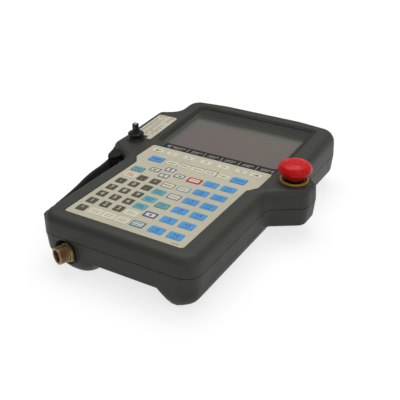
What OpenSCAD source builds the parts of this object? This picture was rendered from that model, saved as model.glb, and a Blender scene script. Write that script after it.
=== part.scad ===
// Hand-held teach pendant, lying on its rear runners, screen end towards +Y and keys up (+Z).
// All plan positions are measured from the middle of the key sheet's lower edge; depths are
// measured down from the key sheet's surface. The whole is then shifted so that the origin
// lies on the floor under the middle of the bounding box.

/* [Housing outline] */
// Width of the lower half, across the grips
body_w = 161; // [156:1:166]
// Width across the two shoulders
shoulder_w = 225; // [222:1:230]
// Width of the screen head
head_w = 185; // [182:1:188]
// Lower end of the housing, below the key sheet
end_margin = 15.5; // [14:0.5:18]
// Distance from the neck's start up to the head's fold
neck_back = 41; // [39:0.5:43]
// Distance from the shoulders' lower corners up to the fold
shoulder_back = 20; // [19:0.5:21]
// Distance from the fold up to the right shoulder's upper corner
shoulder_fore = 5.5; // [5:0.5:7]
// Distance from the fold up to the start of the head's right side
head_start = 19; // [18:0.5:21]
// Distance from the fold up to the head's top corners
head_len = 115.5; // [113:0.5:118]
// Crown of the head's top edge above its corners
head_crown = 5.5; // [3:0.5:7]
// Distance from the fold up to the end of the label side
label_fore = 71; // [69:0.5:74]
// Corner radius of the lower end
corner_r = 16; // [12:0.5:18]
// Corner radius of the head
head_r = 18; // [15:0.5:21]
// Corner radius of the shoulders and the neck
shoulder_r = 12; // [9:0.5:13]

/* [Housing section] */
// Depth of the front shell, from key surface to parting line
front_depth = 18; // [17:0.5:20]
// Depth of the rear shell below the parting line
rear_depth = 21; // [20:0.5:22]
// Height of the rear runners that the pendant stands on
runner_h = 13.5; // [12:0.5:15]
// Tilt of the screen head
head_tilt = 3.5; // [2:0.25:4.5]
// Wall thickness
wall = 3.2; // [2.6:0.1:3.6]
// Thickness of the front face
face_t = 6.5; // [6:0.1:7]
// Edge rounding of the front face
edge_r = 8; // [6:0.5:9]
// Edge rounding of the back
back_r = 4; // [3:0.5:5]
// Gap between the shells at the parting line
parting_gap = 0.6; // [0.4:0.1:0.8]

/* [Runners] */
// Inner edge of the right runner
runner_right_in = 36; // [33:0.5:38]
// Inner edge of the left runner
runner_left_in = 16; // [14:0.5:18]
// Distance of the left runner's outer edge from the housing's side
runner_left_gap = 12.5; // [11:0.5:14]
// How far the runners reach under the head, past the fold
runner_fore = 45; // [35:1:55]

/* [Key sheet] */
// Width of the lower part of the key sheet
sheet_w = 123.2; // [122:0.2:124.6]
// Width of the upper part of the key sheet
sheet_top_w = 138; // [136:0.5:140]
// Length of the key sheet
sheet_h = 155; // [150:0.5:165]
// Distance along the pendant over which the sheet widens
sheet_slope = 11; // [9:0.5:12]
// Thickness of the key sheet
sheet_t = 0.5; // [0.3:0.1:0.6]
// Thickness of the layer of switch domes
dome_t = 0.7; // [0.5:0.1:0.8]
// Thickness of the key board
board_t = 1.5; // [1.2:0.1:1.6]
// How far the embossed keys stand up
key_up = 0.4; // [0.3:0.05:0.6]
// Corner radius of the keys
key_r = 1; // [0.6:0.1:1.4]
// Width of a jog key
jog_w = 14.5; // [12:0.5:16]
// Height of a jog key
jog_h = 10; // [8:0.5:12]
// Pitch of the jog keys along the pendant
jog_pitch = 18.7; // [18.2:0.1:18.8]
// Size of a number key
num_size = 9.4; // [8:0.2:10.4]
// Pitch of the number keys
num_pitch = 14.8; // [14:0.1:14.9]
// Pitch of the function keys
fn_pitch = 19.85; // [19:0.05:20]

/* [Screen] */
// Width of the screen recess at the face
recess_w = 147; // [145:1:149]
// Height of the screen recess at the face
recess_h = 98.5; // [97:0.5:101]
// Sideways offset of the screen from the middle
screen_x = 0; // [-1:0.25:1]
// Height of the status band between the key sheet and the screen recess
strip_h = 10; // [9.5:0.25:11]
// Width of the visible window
window_w = 133; // [130:1:134]
// Height of the visible window
window_h = 77; // [75:1:80]
// Depth of the window below the face
window_depth = 6; // [5:0.1:6.3]
// Thickness of the clear window
glass_t = 2; // [1.5:0.1:2.4]
// Thickness of the display module
panel_t = 9; // [7:0.5:9.5]

/* [Label plate] */
// Width of the label plate
label_w = 23.5; // [20:0.5:24.5]
// Height of the label plate
label_h = 56; // [50:1:58]
// Margin between the plate and the housing's edge
label_edge = 10.5; // [10:0.25:11.5]

/* [Emergency stop] */
// Distance of the stop button's middle from the shoulder's side
stop_side = 20.5; // [20:0.5:22]
// Distance of the stop button's middle below the fold
stop_back = 5; // [4:0.5:6]
// Diameter of the mushroom head
stop_d = 32.6; // [30:0.2:34]
// Outer diameter of the yellow ring
ring_d = 28; // [27.6:0.2:29]
// Diameter of the skirt under the mushroom head
skirt_d = 23; // [22:0.2:23.4]
// Height of the mushroom head's top above the key surface
stop_top = 19.5; // [18.5:0.25:21]
// Travel of the stop button
stop_travel = 4; // [3.5:0.1:4.5]
// Diameter of the mounting neck
stop_neck_d = 16; // [15:0.5:17]
// Diameter of the plunger
plunger_d = 8; // [7:0.1:8.4]

/* [Power switch] */
// Distance of the switch's middle from the shoulder's side
power_side = 19.5; // [19:0.5:21]
// Distance of the switch's middle below the fold
power_back = 3; // [2:0.5:4]
// Diameter of the switch's base
power_d = 18; // [16:0.5:19]
// Width of the finger blade
blade_w = 5.5; // [5:0.25:6]
// Height of the blade's top above the key surface
power_top = 18; // [16:0.5:20]
// Diameter of the switch's shaft
power_shaft_d = 4; // [3.5:0.1:4.5]

/* [Enabling levers] */
// Length of each lever along the runner
lever_len = 64; // [56:1:70]
// Middle of the levers along the pendant
lever_y = 52; // [48:1:58]
// Width of each lever across the slope
lever_w = 13; // [12:0.25:13.5]
// How far the lever stands out of the slope
lever_out = 1.5; // [1:0.1:2]
// Diameter of the lever's hinge pin
lever_pin_d = 3; // [2.4:0.1:3.2]

/* [Connector] */
// Distance of the connector to the left of the middle
plug_x = 48.9; // [47:0.1:51]
// Height position of the connector's seat
plug_y = -11.7; // [-12.5:0.1:-11]
// Depth of the connector's middle below the key surface
plug_z = 32.6; // [31:0.1:33.5]
// Turn of the connector towards the left side
plug_turn = 22; // [16:1:26]
// Diameter of the connector's barrel
plug_d = 16; // [15:0.5:17]
// Length of the barrel from its seat
plug_len = 13.5; // [12:0.5:16]
// Size of the hexagon nut across its flats
nut_af = 17.5; // [17:0.25:19]
// Thickness of the hexagon nut
nut_t = 3; // [2.5:0.5:4]
// Depth of the socket
socket_depth = 9; // [7:0.5:10]

/* [Hand strap] */
// Thickness of the strap
strap_t = 4; // [3:0.25:4.5]
// Depth of the strap's upper edge below the key surface
strap_top = 7; // [6:0.5:8]
// Width of the strap's band
strap_band = 22; // [18:0.5:23]
// Diameter of the pin that the strap loops round
strap_pin_d = 4; // [3.6:0.1:4.4]

/* [Screws] */
// Diameter of the housing screws
screw_d = 3.2; // [3:0.1:3.5]
// Diameter of the housing screws' heads
screw_head_d = 6.4; // [6:0.1:7]

/* [Hidden] */
$fn = 48;

// Small distances used throughout
eps = 0.01;
clear = 0.3;
run = 0.05;
seat_gap = 0.02;
key_gap = 0.3;

// Levels, measured from the key surface
face_z = 0.5;
roof_z = face_z - face_t;
part_z = -front_depth;
rear_top = part_z - parting_gap;
back_z = part_z - rear_depth;
floor_z = back_z + wall;
base_z = back_z - runner_h;
fold_y = sheet_h + 5;
neck_y = fold_y - neck_back;
shoulder_y0 = fold_y - shoulder_back;
shoulder_y1 = fold_y + shoulder_fore;
head_y0 = fold_y + head_start;
head_y1 = fold_y + head_len;
recess_y = sheet_h + strip_h;
draft_front = 0.6;
draft_rear = 1.5;
arc_n = 6;

// Finished extent along Y, from the connector's mouth to the crown of the head
plug_r = plug_d / 2;
y_low = plug_y - plug_len * cos(plug_turn) - plug_r * sin(plug_turn);
y_high = head_y1 + head_crown;
y_mid = (y_low + y_high) / 2;

// Rounded polygons: every corner is [x, y, r]; the outline is inset by d
function unit(v) = v / norm(v);
function left_of(v) = [-v.y, v.x];
function turn(v, a) = [v.x * cos(a) - v.y * sin(a), v.x * sin(a) + v.y * cos(a)];
function corner(p, c, q, d, n) =
    let (
        e1 = unit([c.x - p.x, c.y - p.y]),
        e2 = unit([q.x - c.x, q.y - c.y]),
        n1 = left_of(e1),
        n2 = left_of(e2),
        m = (n1 + n2) / (1 + n1 * n2),
        a = atan2(e1.x * e2.y - e1.y * e2.x, e1 * e2),
        s = a < 0 ? -1 : 1,
        r = max(c.z - s * d, 0.05),
        v = [c.x, c.y] + m * d,
        o = v + m * s * r
    )
    c.z == 0 ? [v] : [for (k = [0 : n]) o - s * r * turn(n1, a * k / n)];
function rounded(c, d = 0, n = arc_n) =
    let (k = len(c))
    [for (i = [0 : k - 1]) each corner(c[(i + k - 1) % k], c[i], c[(i + 1) % k], d, n)];
function box_corners(x0, x1, y0, y1, r) = [[x1, y0, r], [x1, y1, r], [x0, y1, r], [x0, y0, r]];

// Rings of equal count joined into a closed solid. A ring may fold upwards at fold_y, so its
// cap is two flat faces.
function lift(pts, z, w = 0) = [
    for (p = pts) [p.x, p.y, z + w * max(0, p.y - fold_y) * tan(head_tilt)]
];
module stack(rings, fold = false) {
    n = len(rings[0]);
    k = len(rings);
    top = rings[k - 1];
    low = [for (i = [n - 1 : -1 : 0]) i];
    up = (k - 1) * n;
    side = [
        for (j = [0 : k - 2], i = [0 : n - 1])
            [j * n + i, j * n + (i + 1) % n, (j + 1) * n + (i + 1) % n, (j + 1) * n + i]
    ];
    flat = [for (i = [0 : n - 1]) if (!fold || top[i].y <= fold_y + eps) up + i];
    tilted = [for (i = [0 : n - 1]) if (fold && top[i].y >= fold_y - eps) up + i];
    caps = fold ? [flat, tilted] : [flat];
    // faces are listed clockwise when seen from outside
    out = [for (f = concat([low], side, caps)) [for (i = [len(f) - 1 : -1 : 0]) f[i]]];
    polyhedron(points = [for (r = rings) each r], faces = out, convexity = 6);
}
// An oval well inside the outline, with one point for each point of the outline. Ending a
// stack on it keeps each cap's last polygon convex.
core_share = 0.8;
function core(pts) =
    let (
        mid = fold_y + core_share * ((y_high - end_margin) / 2 - fold_y),
        half = core_share * (y_high + end_margin) / 2 * 1.05
    )
    [
        for (p = pts)
            let (y = fold_y + core_share * (p.y - fold_y))
            [sign(p.x) * body_w / 4 * sqrt(1 - pow((y - mid) / half, 2)), y]
    ];
module prism(pts, z0, z1) {
    translate([0, 0, z0])
        linear_extrude(height = z1 - z0)
            polygon(pts);
}

// Plan of the housing at the parting line, anticlockwise from the lower right corner
bw = body_w / 2;
sw = shoulder_w / 2;
hw = head_w / 2;
label_y1 = fold_y + label_fore;
stop_x = sw - stop_side;
stop_y = fold_y - stop_back;
power_x = sw - power_side;
power_y = fold_y - power_back;
outline = [
    [bw, -end_margin, corner_r],
    [bw, neck_y, shoulder_r],
    [sw, shoulder_y0, shoulder_r],
    [sw, fold_y, 0],
    [sw, shoulder_y1, shoulder_r * 2 / 3],
    [hw, head_y0, shoulder_r],
    [hw, head_y1, head_r],
    [hw * 0.5, y_high, head_r * 6],
    [-hw * 0.5, y_high, head_r * 6],
    [-hw, head_y1, head_r],
    [-hw, label_y1 + 10, shoulder_r],
    [-sw, label_y1, 10],
    [-sw, fold_y, 0],
    [-sw, shoulder_y0, shoulder_r],
    [-bw, neck_y, shoulder_r],
    [-bw, -end_margin, corner_r]
];

// Key sheet
sw0 = sheet_w / 2;
sw1 = sheet_top_w / 2;
sheet_y0 = neck_y - 6.5;
sheet_y1 = sheet_y0 + sheet_slope;
sheet = [
    [sw0, 0, 3],
    [sw0, sheet_y0, 3],
    [sw1, sheet_y1, 3],
    [sw1, sheet_h, 3],
    [-sw1, sheet_h, 3],
    [-sw1, sheet_y1, 3],
    [-sw0, sheet_y0, 3],
    [-sw0, 0, 3]
];
dome_z = -sheet_t - dome_t;
pocket_z = dome_z - board_t;
strip_x0 = -57;
strip_x1 = 69.5;
strip_t = 0.5;

// Key rows and columns
jog_cols = [27.8, 46.5];
jog_y0 = 13.1;
jog_rows = 6;
num_x0 = -51;
num_y0 = 26.8;
num_cols = 3;
num_rows = 4;
fn_x0 = -39.5;
fn_y = sheet_h - 10;
fn_keys = 5;
menu_y = sheet_h - 28;
small_w = 12;
small_h = 7;
cursor_w = 11;
cursor_h = 7.5;
pad_w = 13;
pad_h = 9;
cream_rows = [
    [-56.7, fn_y], [56, fn_y], [-28.5, menu_y], [-15, menu_y], [0.6, menu_y], [15.6, menu_y],
    [30, menu_y]
];
cursor_keys = [[-21.6, 113.4], [-35, 106.4], [-7, 106.4], [-20.6, 99.6]];
cream_pads = [
    [-50, 85.5], [-6.3, 85], [10.2, 86], [10.2, 69], [9.4, 31.3], [-36.2, 12], [-21.5, 12],
    [-7, 25.5], [-7, 12]
];
cyan_pads = [[-50.4, 98.9], [-7, 69.8], [-7, 54.4], [-7, 39.6], [9.6, 50.1], [8.6, 13.1]];
shift_keys = [[-46.9, menu_y], [46.8, menu_y]];
hold_key = [10.2, 105.6];

// Screws that close the housing, and the board's supports
screw_pts = [
    [bw - 9.5, -3], [9.5 - bw, 0], [bw - 10.5, neck_y - 12], [10.5 - bw, neck_y - 12],
    [hw - 16.5, head_y1 - 17.5], [16.5 - hw, head_y1 - 17.5]
];
boss_r = 4.6;
boss_bore = screw_d / 2 + run;
head_seat = 3.4;
board_z = -25;
pcb_t = 1.6;
board_x = 72;
board_y0 = fold_y - 42;
board_y1 = fold_y + 92;
stand_pts = [for (x = [6 - board_x, board_x - 6], y = [board_y0 + 6, board_y1 - 6]) [x, y]];
stand_r = 3.6;
stand_bore = 1.3;
cable_w = 30;
cable_t = 0.4;
cable_y = fold_y - 12;

// Flat pads that carry the round controls
pad_z = face_z + 0.4;
stop_pad_r = ring_d / 2 + 2.2;
power_pad_r = power_d / 2 + 0.8;

// Moves to the tilted head's own surface, with z = 0 on the face
module head_frame() {
    translate([0, fold_y, face_z])
        rotate([head_tilt, 0, 0])
            translate([0, -fold_y, 0])
                children();
}
// Moves to the pendant's finished place: floor at z = 0, middle of the extent at y = 0
module place() {
    translate([0, -y_mid, -base_z])
        children();
}

// ---------------------------------------------------------------- housing shells
// Rounded shoulders are stacked insets that follow a quarter circle
function edge_rings(sign, z0, d0, r, w) = [
    for (k = [0 : 6])
        let (a = 15 * k)
        lift(rounded(outline, d0 + r * (1 - cos(a))), z0 + sign * r * sin(a), w * (k + 4) / 10)
];
module front_outer() {
    side_top = face_z - edge_r;
    stack(concat(
        [lift(core(rounded(outline, 0)), part_z), lift(rounded(outline, 0), part_z)],
        edge_rings(1, side_top, draft_front, edge_r, 1),
        [lift(core(rounded(outline, draft_front + edge_r)), face_z, 1)]
    ), true);
}
module screen_recess() {
    x0 = screen_x - recess_w / 2;
    x1 = screen_x + recess_w / 2;
    y1 = recess_y + recess_h;
    wx0 = screen_x - window_w / 2;
    wx1 = screen_x + window_w / 2;
    wy0 = recess_y + 2;
    wy1 = wy0 + window_h;
    // [depth, inset from the recess's edge, corner radius] of the groove and the bezel
    steps = [
        [-2.5, 1, 3], [-2, 4.6, 5], [-1.1, 4.1, 6], [-1, 1.2, 7], [-0.2, 0.5, 7.5],
        [0.1, 0, 8], [2, -0.4, 8]
    ];
    window = rounded(box_corners(wx0, wx1, wy0, wy1, 1.5), 0, 5);
    stack(concat(
        [lift(window, -window_depth - 1), lift(window, -window_depth)],
        [lift(rounded(box_corners(wx0 - 0.8, wx1 + 0.8, wy0 - 0.2, wy1 + 0.8, 2), 0, 5), -2.6)],
        [
            for (i = [0 : len(steps) - 1])
                let (
                    q = steps[i],
                    e = i == 0 ? -1 : q[1],
                    xa = i == 0 ? wx0 - 1.2 : x0 + e,
                    xb = i == 0 ? wx1 + 1.2 : x1 - e,
                    ya = i == 0 ? wy0 - 0.3 : recess_y + e * 0.35,
                    yb = i == 0 ? wy1 + 1.2 : y1 - e
                )
                lift(rounded(box_corners(xa, xb, ya, yb, q[2]), 0, 5), q[0])
        ]
    ));
}
// Space for the window and the display module, under the head's face
glass_x = window_w / 2 + 5;
glass_y0 = recess_y - 1.5;
glass_y1 = recess_y + 2 + window_h + 5;
module display_space() {
    head_frame()
        translate([screen_x - glass_x - clear, glass_y0 - clear, -40 - window_depth])
            cube([2 * (glass_x + clear), glass_y1 - glass_y0 + 2 * clear, 40]);
}
module front_housing() {
    place() color([0.24, 0.24, 0.21]) difference() {
        union() {
            difference() {
                union() {
                    front_outer();
                    translate([stop_x, stop_y, roof_z])
                        cylinder(r = stop_pad_r, h = pad_z - roof_z);
                    translate([-power_x, power_y, roof_z])
                        cylinder(r = power_pad_r, h = pad_z - roof_z);
                }
                prism(rounded(outline, wall + draft_front), part_z - 1, roof_z);
                display_space();
            }
            // screw towers under the face
            for (p = screw_pts)
                translate([p.x, p.y, part_z])
                    cylinder(r = boss_r, h = roof_z - part_z + 1);
        }
        prism(rounded(sheet, -clear), pocket_z, face_z + 2);
        translate([strip_x0 - clear, sheet_h + clear, -strip_t])
            cube([strip_x1 - strip_x0 + 2 * clear, recess_y - sheet_h + 1, 3]);
        head_frame() screen_recess();
        // spot faces round the controls, which level the start of the tilted head
        translate([stop_x, stop_y, pad_z])
            cylinder(r = stop_pad_r, h = 4);
        translate([-power_x, power_y, pad_z])
            cylinder(r = power_pad_r, h = 4);
        // passage for the key board's cable
        translate([-cable_w / 2 - 1, cable_y - 2, roof_z - 1])
            cube([cable_w + 2, 5, face_t]);
        translate([stop_x, stop_y, roof_z - 1])
            cylinder(d = stop_neck_d + 2 * run, h = face_t + 4);
        translate([-power_x, power_y, roof_z - 1])
            cylinder(d = power_neck_d + 2 * run, h = face_t + 4);
        for (p = screw_pts)
            translate([p.x, p.y, part_z - 1])
                cylinder(r = boss_bore, h = front_depth - 7);
    }
}

// Each runner is a loft of rounded rectangles: [drop, inner, outer, end] shares
runner_steps = [
    [-0.3, 0, 0, 0], [0, 0, 0, 0], [0.29, 3.9, 1, 0.3], [0.57, 7.7, 3.6, 1.2],
    [0.79, 10.7, 7.6, 3], [0.93, 13.4, 12, 5.2], [1, 16.3, 17, 8]
];
runner_right_out = bw - draft_rear + 0.05;
runner_left_out = bw - runner_left_gap;
runner_y1 = fold_y + runner_fore;
function runner_ring(xi, xo, s, k) =
    let (
        q = runner_steps[k],
        xa = xi + s * q[1],
        xb = xo - s * q[2],
        y0 = -end_margin + draft_rear - 0.05 + q[3],
        y1 = runner_y1 - 1.6 * q[3]
    )
    lift(rounded(box_corners(min(xa, xb), max(xa, xb), y0, y1, corner_r - draft_rear - q[3] / 2), 0, 5),
        back_z - runner_h * q[0]);
module runner(xi, xo) {
    s = xo > xi ? 1 : -1;
    k = len(runner_steps);
    stack([for (i = [0 : k - 1]) runner_ring(xi, xo, s, k - 1 - i)]);
}
module rear_outer() {
    side_low = back_z + back_r;
    rings = edge_rings(-1, side_low, draft_rear, back_r, 0);
    stack(concat(
        [lift(core(rounded(outline, draft_rear + back_r)), back_z)],
        [for (i = [0 : 6]) rings[6 - i]],
        [lift(rounded(outline, 0), rear_top), lift(core(rounded(outline, 0)), rear_top)]
    ));
}

// Levers work in pockets in the runners' inner slopes. In this frame x runs up the slope,
// y along the runner and z straight out of the slope.
slope_mid = 5.2;
module right_slope() {
    translate([runner_right_in + slope_mid, lever_y, back_z - slope_mid])
        rotate([0, 225, 0])
            children();
}
module left_slope() {
    mirror([1, 0, 0])
        translate([runner_left_in - runner_right_in, 0, 0])
            right_slope()
                children();
}
lever_deep = 6;
lever_gap = 0.8;
lever_pivot = [lever_w / 2 - 2.4, -3.2];
pocket_floor = -9.2;
pin_end = 3.5;
switch_x = -3;
switch_w = 5;
switch_len = 20;
switch_low = -16;
module lever_cut() {
    // pocket, hinge pin's holes and the switch's well
    translate([-lever_w / 2 - lever_gap, -lever_len / 2 - lever_gap, pocket_floor])
        cube([lever_w + 2 * lever_gap, lever_len + 2 * lever_gap, 20]);
    translate([lever_pivot.x, 0, lever_pivot.y])
        rotate([90, 0, 0])
            cylinder(d = lever_pin_d + 2 * run, h = lever_len + 2 * (lever_gap + pin_end),
                center = true);
    translate([switch_x - switch_w / 2 - clear / 2, -switch_len / 2 - clear / 2, switch_low - 8])
        cube([switch_w + clear, switch_len + clear, 16]);
}
module lever_wall() {
    // walls of the pocket where it rises into the housing
    l = lever_len + 2 * (lever_gap + pin_end + 1.5);
    w = lever_w + 2 * (lever_gap + 2.2);
    translate([-w / 2, -l / 2, pocket_floor - 2.8])
        cube([w, l, 7]);
}
module lever() {
    h = lever_w / 2;
    difference() {
        rotate([90, 0, 0])
            translate([0, 0, -lever_len / 2])
                linear_extrude(height = lever_len)
                    polygon(rounded([
                        [h, -lever_deep, 1.2], [h, lever_out * 0.4, 1.5], [0, lever_out, 12],
                        [-h, lever_out * 0.6, 2], [-h, -lever_deep, 1.2]
                    ], 0, 4));
        translate([lever_pivot.x, 0, lever_pivot.y])
            rotate([90, 0, 0])
                cylinder(d = lever_pin_d + 2 * seat_gap, h = lever_len + 2, center = true);
        // finger grooves
        for (k = [-2 : 2])
            translate([-h - 1, k * lever_len / 6 - 0.6, lever_out - 0.5])
                cube([lever_w + 2, 1.2, 2]);
    }
}
module lever_pin() {
    translate([lever_pivot.x, 0, lever_pivot.y])
        rotate([90, 0, 0])
            cylinder(d = lever_pin_d, h = lever_len + 2 * (lever_gap + pin_end) - 1,
                center = true);
}
module lever_switch() {
    top = pocket_floor + 1.6;
    translate([switch_x - switch_w / 2, -switch_len / 2, switch_low])
        cube([switch_w, switch_len, pocket_floor - switch_low]);
    translate([switch_x - 1.2, -2, pocket_floor - 1])
        cube([2.4, 4, top - pocket_floor + 1]);
}

// Connector frame: z runs out along the barrel, starting on its seat
gasket_t = 1;
plug_bore_r = plug_r - 2.2;
neck_r = plug_r - 1;
neck_top = gasket_t + nut_t + 0.2;
seat_r = nut_af / 2 / cos(30) + 1.6;
module plug_frame() {
    translate([-plug_x, plug_y, -plug_z])
        rotate([90, 0, -plug_turn])
            children();
}
module rear_housing() {
    place() color([0.2, 0.2, 0.18]) difference() {
        union() {
            difference() {
                union() {
                    rear_outer();
                    runner(runner_right_in, runner_right_out);
                    runner(-runner_left_in, -runner_left_out);
                }
                prism(rounded(outline, wall + draft_rear + 1), floor_z, rear_top + 1);
                // hollow runners
                prism(rounded(box_corners(runner_right_in + 21, runner_right_out - 13,
                    4, runner_y1 - 26, 4), 0, 4), base_z + wall, floor_z + eps);
                prism(rounded(box_corners(13 - runner_left_out, -runner_left_in - 21,
                    22, runner_y1 - 26, 4), 0, 4), base_z + wall, floor_z + eps);
            }
            // screw columns, board supports and the connector's block
            for (p = screw_pts)
                translate([p.x, p.y, floor_z - 1])
                    cylinder(r = boss_r, h = rear_top - floor_z + 1);
            for (p = stand_pts)
                translate([p.x, p.y, floor_z - 1])
                    cylinder(r = stand_r, h = board_z - floor_z + 1);
            intersection() {
                rear_outer();
                translate([-plug_x - seat_r, -end_margin, floor_z - 1])
                    cube([2 * seat_r, end_margin + wall, rear_top - floor_z]);
            }
            plug_frame()
                translate([0, 0, -6])
                    cylinder(r = seat_r, h = 6);
            right_slope() lever_wall();
            left_slope() lever_wall();
        }
        right_slope() lever_cut();
        left_slope() lever_cut();
        for (p = screw_pts)
            translate([p.x, p.y, base_z - 1]) {
                cylinder(r = screw_head_d / 2 + clear, h = floor_z - base_z + 1 + head_seat - wall);
                cylinder(r = screw_d / 2 + 0.2, h = 60);
            }
        for (p = stand_pts)
            translate([p.x, p.y, floor_z + 1])
                cylinder(r = stand_bore, h = 20);
        plug_frame() {
            cylinder(r = seat_r + 0.8, h = 30);
            translate([0, 0, -30])
                cylinder(r = neck_r + run, h = 40);
        }
    }
}
module housing_seal() {
    place() color([0.05, 0.05, 0.05]) difference() {
        prism(rounded(outline, 1), rear_top, part_z);
        prism(rounded(outline, wall + draft_front), rear_top - 1, part_z + 1);
    }
}
module housing_screws() {
    seat = floor_z + head_seat - wall;
    place() color([0.55, 0.56, 0.58]) for (p = screw_pts)
        translate([p.x, p.y, 0]) difference() {
            union() {
                translate([0, 0, seat - 3])
                    cylinder(d = screw_head_d, h = 3);
                translate([0, 0, seat - 1])
                    cylinder(d = screw_d, h = part_z + 9 - seat);
            }
            translate([0, 0, seat - 4])
                cylinder(d = screw_head_d / 2, h = 2.6, $fn = 6);
        }
}

// ---------------------------------------------------------------- key sheet and keys
module keypad_overlay() {
    place() color([0.75, 0.71, 0.62])
        prism(rounded(sheet), -sheet_t, 0);
}
module dome_sheet() {
    place() color([0.8, 0.8, 0.78])
        prism(rounded(sheet, 1), dome_z, -sheet_t);
}
module keypad_board() {
    place() color([0.1, 0.35, 0.2])
        prism(rounded(sheet, 1), pocket_z, dome_z);
}
module key(p, w, h) {
    translate([p.x, p.y, 0])
        prism(rounded(box_corners(-w / 2, w / 2, -h / 2, h / 2, key_r), 0, 4), 0, key_up);
}
module keys_cream() {
    place() color([0.84, 0.82, 0.74]) {
        for (k = [0 : fn_keys - 1])
            key([fn_x0 + k * fn_pitch, fn_y], small_w, small_h);
        for (p = cream_rows) key(p, small_w, small_h);
        for (p = cursor_keys) key(p, cursor_w, cursor_h);
        for (p = cream_pads) key(p, pad_w, pad_h);
    }
}
module keys_blue() {
    place() color([0.24, 0.55, 0.8]) {
        for (x = jog_cols, k = [0 : jog_rows - 1])
            key([x, jog_y0 + k * jog_pitch], jog_w, jog_h);
        for (p = shift_keys) key(p, jog_w, jog_h);
    }
}
module keys_dark() {
    x1 = num_x0 + num_pitch;
    place() color([0.3, 0.29, 0.24]) {
        for (i = [0 : num_cols - 1], k = [0 : num_rows - 1])
            key([num_x0 + i * num_pitch, num_y0 + k * num_pitch], num_size, num_size);
        for (i = [0 : 1])
            key([x1 + i * num_pitch, num_y0 + num_rows * num_pitch - 0.4], num_size, num_size);
        key([num_x0, num_y0 - num_pitch], num_size, num_size);
    }
}
module keys_cyan() {
    place() color([0.45, 0.72, 0.75])
        for (p = cyan_pads) key(p, pad_w, pad_h);
}
module key_hold() {
    place() color([0.78, 0.15, 0.15])
        key(hold_key, pad_w + 1.5, pad_h + 0.5);
}
module status_strip() {
    place() color([0.06, 0.06, 0.07])
        translate([strip_x0, sheet_h + clear, -strip_t])
            cube([strip_x1 - strip_x0, recess_y - sheet_h - 2 * clear, strip_t + 0.1]);
}
module label_plate() {
    // The plate's lower left corner is cut away round the switch
    x0 = label_edge - sw;
    x1 = x0 + label_w;
    cut_x = power_pad_r - 1 - power_x;
    y0 = power_y + 5.5;
    cut_y = power_y + power_pad_r + 0.8;
    place() color([0.74, 0.71, 0.62])
        head_frame()
            prism(rounded([
                [x1, y0, 1.5], [x1, y0 + label_h, 3], [x0, y0 + label_h, 3], [x0, cut_y, 2],
                [cut_x, cut_y, 1], [cut_x, y0, 1]
            ], 0, 5), seat_gap, 0.6);
}

// ---------------------------------------------------------------- screen
module display_window() {
    place() color([0.55, 0.55, 0.52]) head_frame()
        translate([screen_x - glass_x, glass_y0, -window_depth - glass_t])
            cube([2 * glass_x, glass_y1 - glass_y0, glass_t]);
}
module display_panel() {
    z1 = -window_depth - glass_t;
    place() color([0.3, 0.32, 0.32]) head_frame()
        translate([screen_x - glass_x, glass_y0, z1 - panel_t])
            cube([2 * glass_x, glass_y1 - glass_y0, panel_t]);
}
bracket_t = 1.2;
module display_bracket() {
    z1 = -window_depth - glass_t - panel_t;
    w = glass_x - 8;
    place() color([0.6, 0.61, 0.63]) head_frame() difference() {
        translate([screen_x - glass_x + 2, glass_y0 + 2, z1 - bracket_t])
            cube([2 * glass_x - 4, glass_y1 - glass_y0 - 4, bracket_t]);
        for (s = [-1, 1])
            translate([screen_x + s * w / 2 - w * 0.35, glass_y0 + 14, z1 - 5])
                cube([w * 0.7, glass_y1 - glass_y0 - 28, 10]);
    }
}
module main_board() {
    place() color([0.12, 0.36, 0.22]) {
        difference() {
            translate([-board_x, board_y0, board_z])
                cube([2 * board_x, board_y1 - board_y0, pcb_t]);
            for (p = stand_pts)
                translate([p.x, p.y, board_z - 1])
                    cylinder(r = stand_bore + 0.2, h = 5);
        }
        for (c = [[-30, 87, 28], [20, 97, 20], [25, 62, 14], [-40, 47, 16]])
            translate([c.x - c.z / 2, board_y0 + c.y - c.z / 2, board_z + pcb_t - eps])
                cube([c.z, c.z, 2]);
    }
}
module board_screws() {
    place() color([0.7, 0.7, 0.72]) for (p = stand_pts)
        translate([p.x, p.y, 0]) {
            translate([0, 0, board_z + pcb_t])
                cylinder(r = 2.6, h = 1.6);
            translate([0, 0, board_z - 5])
                cylinder(r = stand_bore - run, h = 5 + pcb_t + eps);
        }
}
module ribbon_cable() {
    top = pocket_z - 0.1;
    low = board_z + pcb_t + 0.1;
    place() color([0.6, 0.6, 0.6])
        translate([cable_w / 2, 0, 0])
            rotate([0, -90, 0])
                linear_extrude(height = cable_w)
                    polygon([
                        [low, cable_y - 14], [low + cable_t, cable_y - 14],
                        [low + cable_t, cable_y], [top, cable_y], [top, cable_y + cable_t],
                        [low, cable_y + cable_t]
                    ]);
}

// ---------------------------------------------------------------- emergency stop
module at_stop() {
    place() translate([stop_x, stop_y, 0]) children();
}
neck_low = -14;
skirt_r = skirt_d / 2;
skirt_z = pad_z + stop_travel + 0.4;
collar_r = skirt_r - 2.2;
collar_top = skirt_z + 0.4;
cup_r = collar_r + 0.5;
cup_z = collar_top + stop_travel + 0.4;
plunger_r = plunger_d / 2;
plunger_low = neck_low - 2;
module estop_ring() {
    at_stop() color([0.85, 0.66, 0.2]) difference() {
        translate([0, 0, pad_z]) cylinder(d = ring_d, h = 1.2);
        translate([0, 0, pad_z - 1]) cylinder(r = skirt_r + 0.7, h = 5);
    }
}
module estop_bushing() {
    at_stop() color([0.07, 0.07, 0.07]) difference() {
        union() {
            translate([0, 0, neck_low]) cylinder(d = stop_neck_d, h = pad_z - neck_low + 1);
            translate([0, 0, pad_z]) cylinder(r = collar_r, h = collar_top - pad_z);
        }
        translate([0, 0, neck_low - 1]) cylinder(r = plunger_r + run, h = 60);
    }
}
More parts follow.
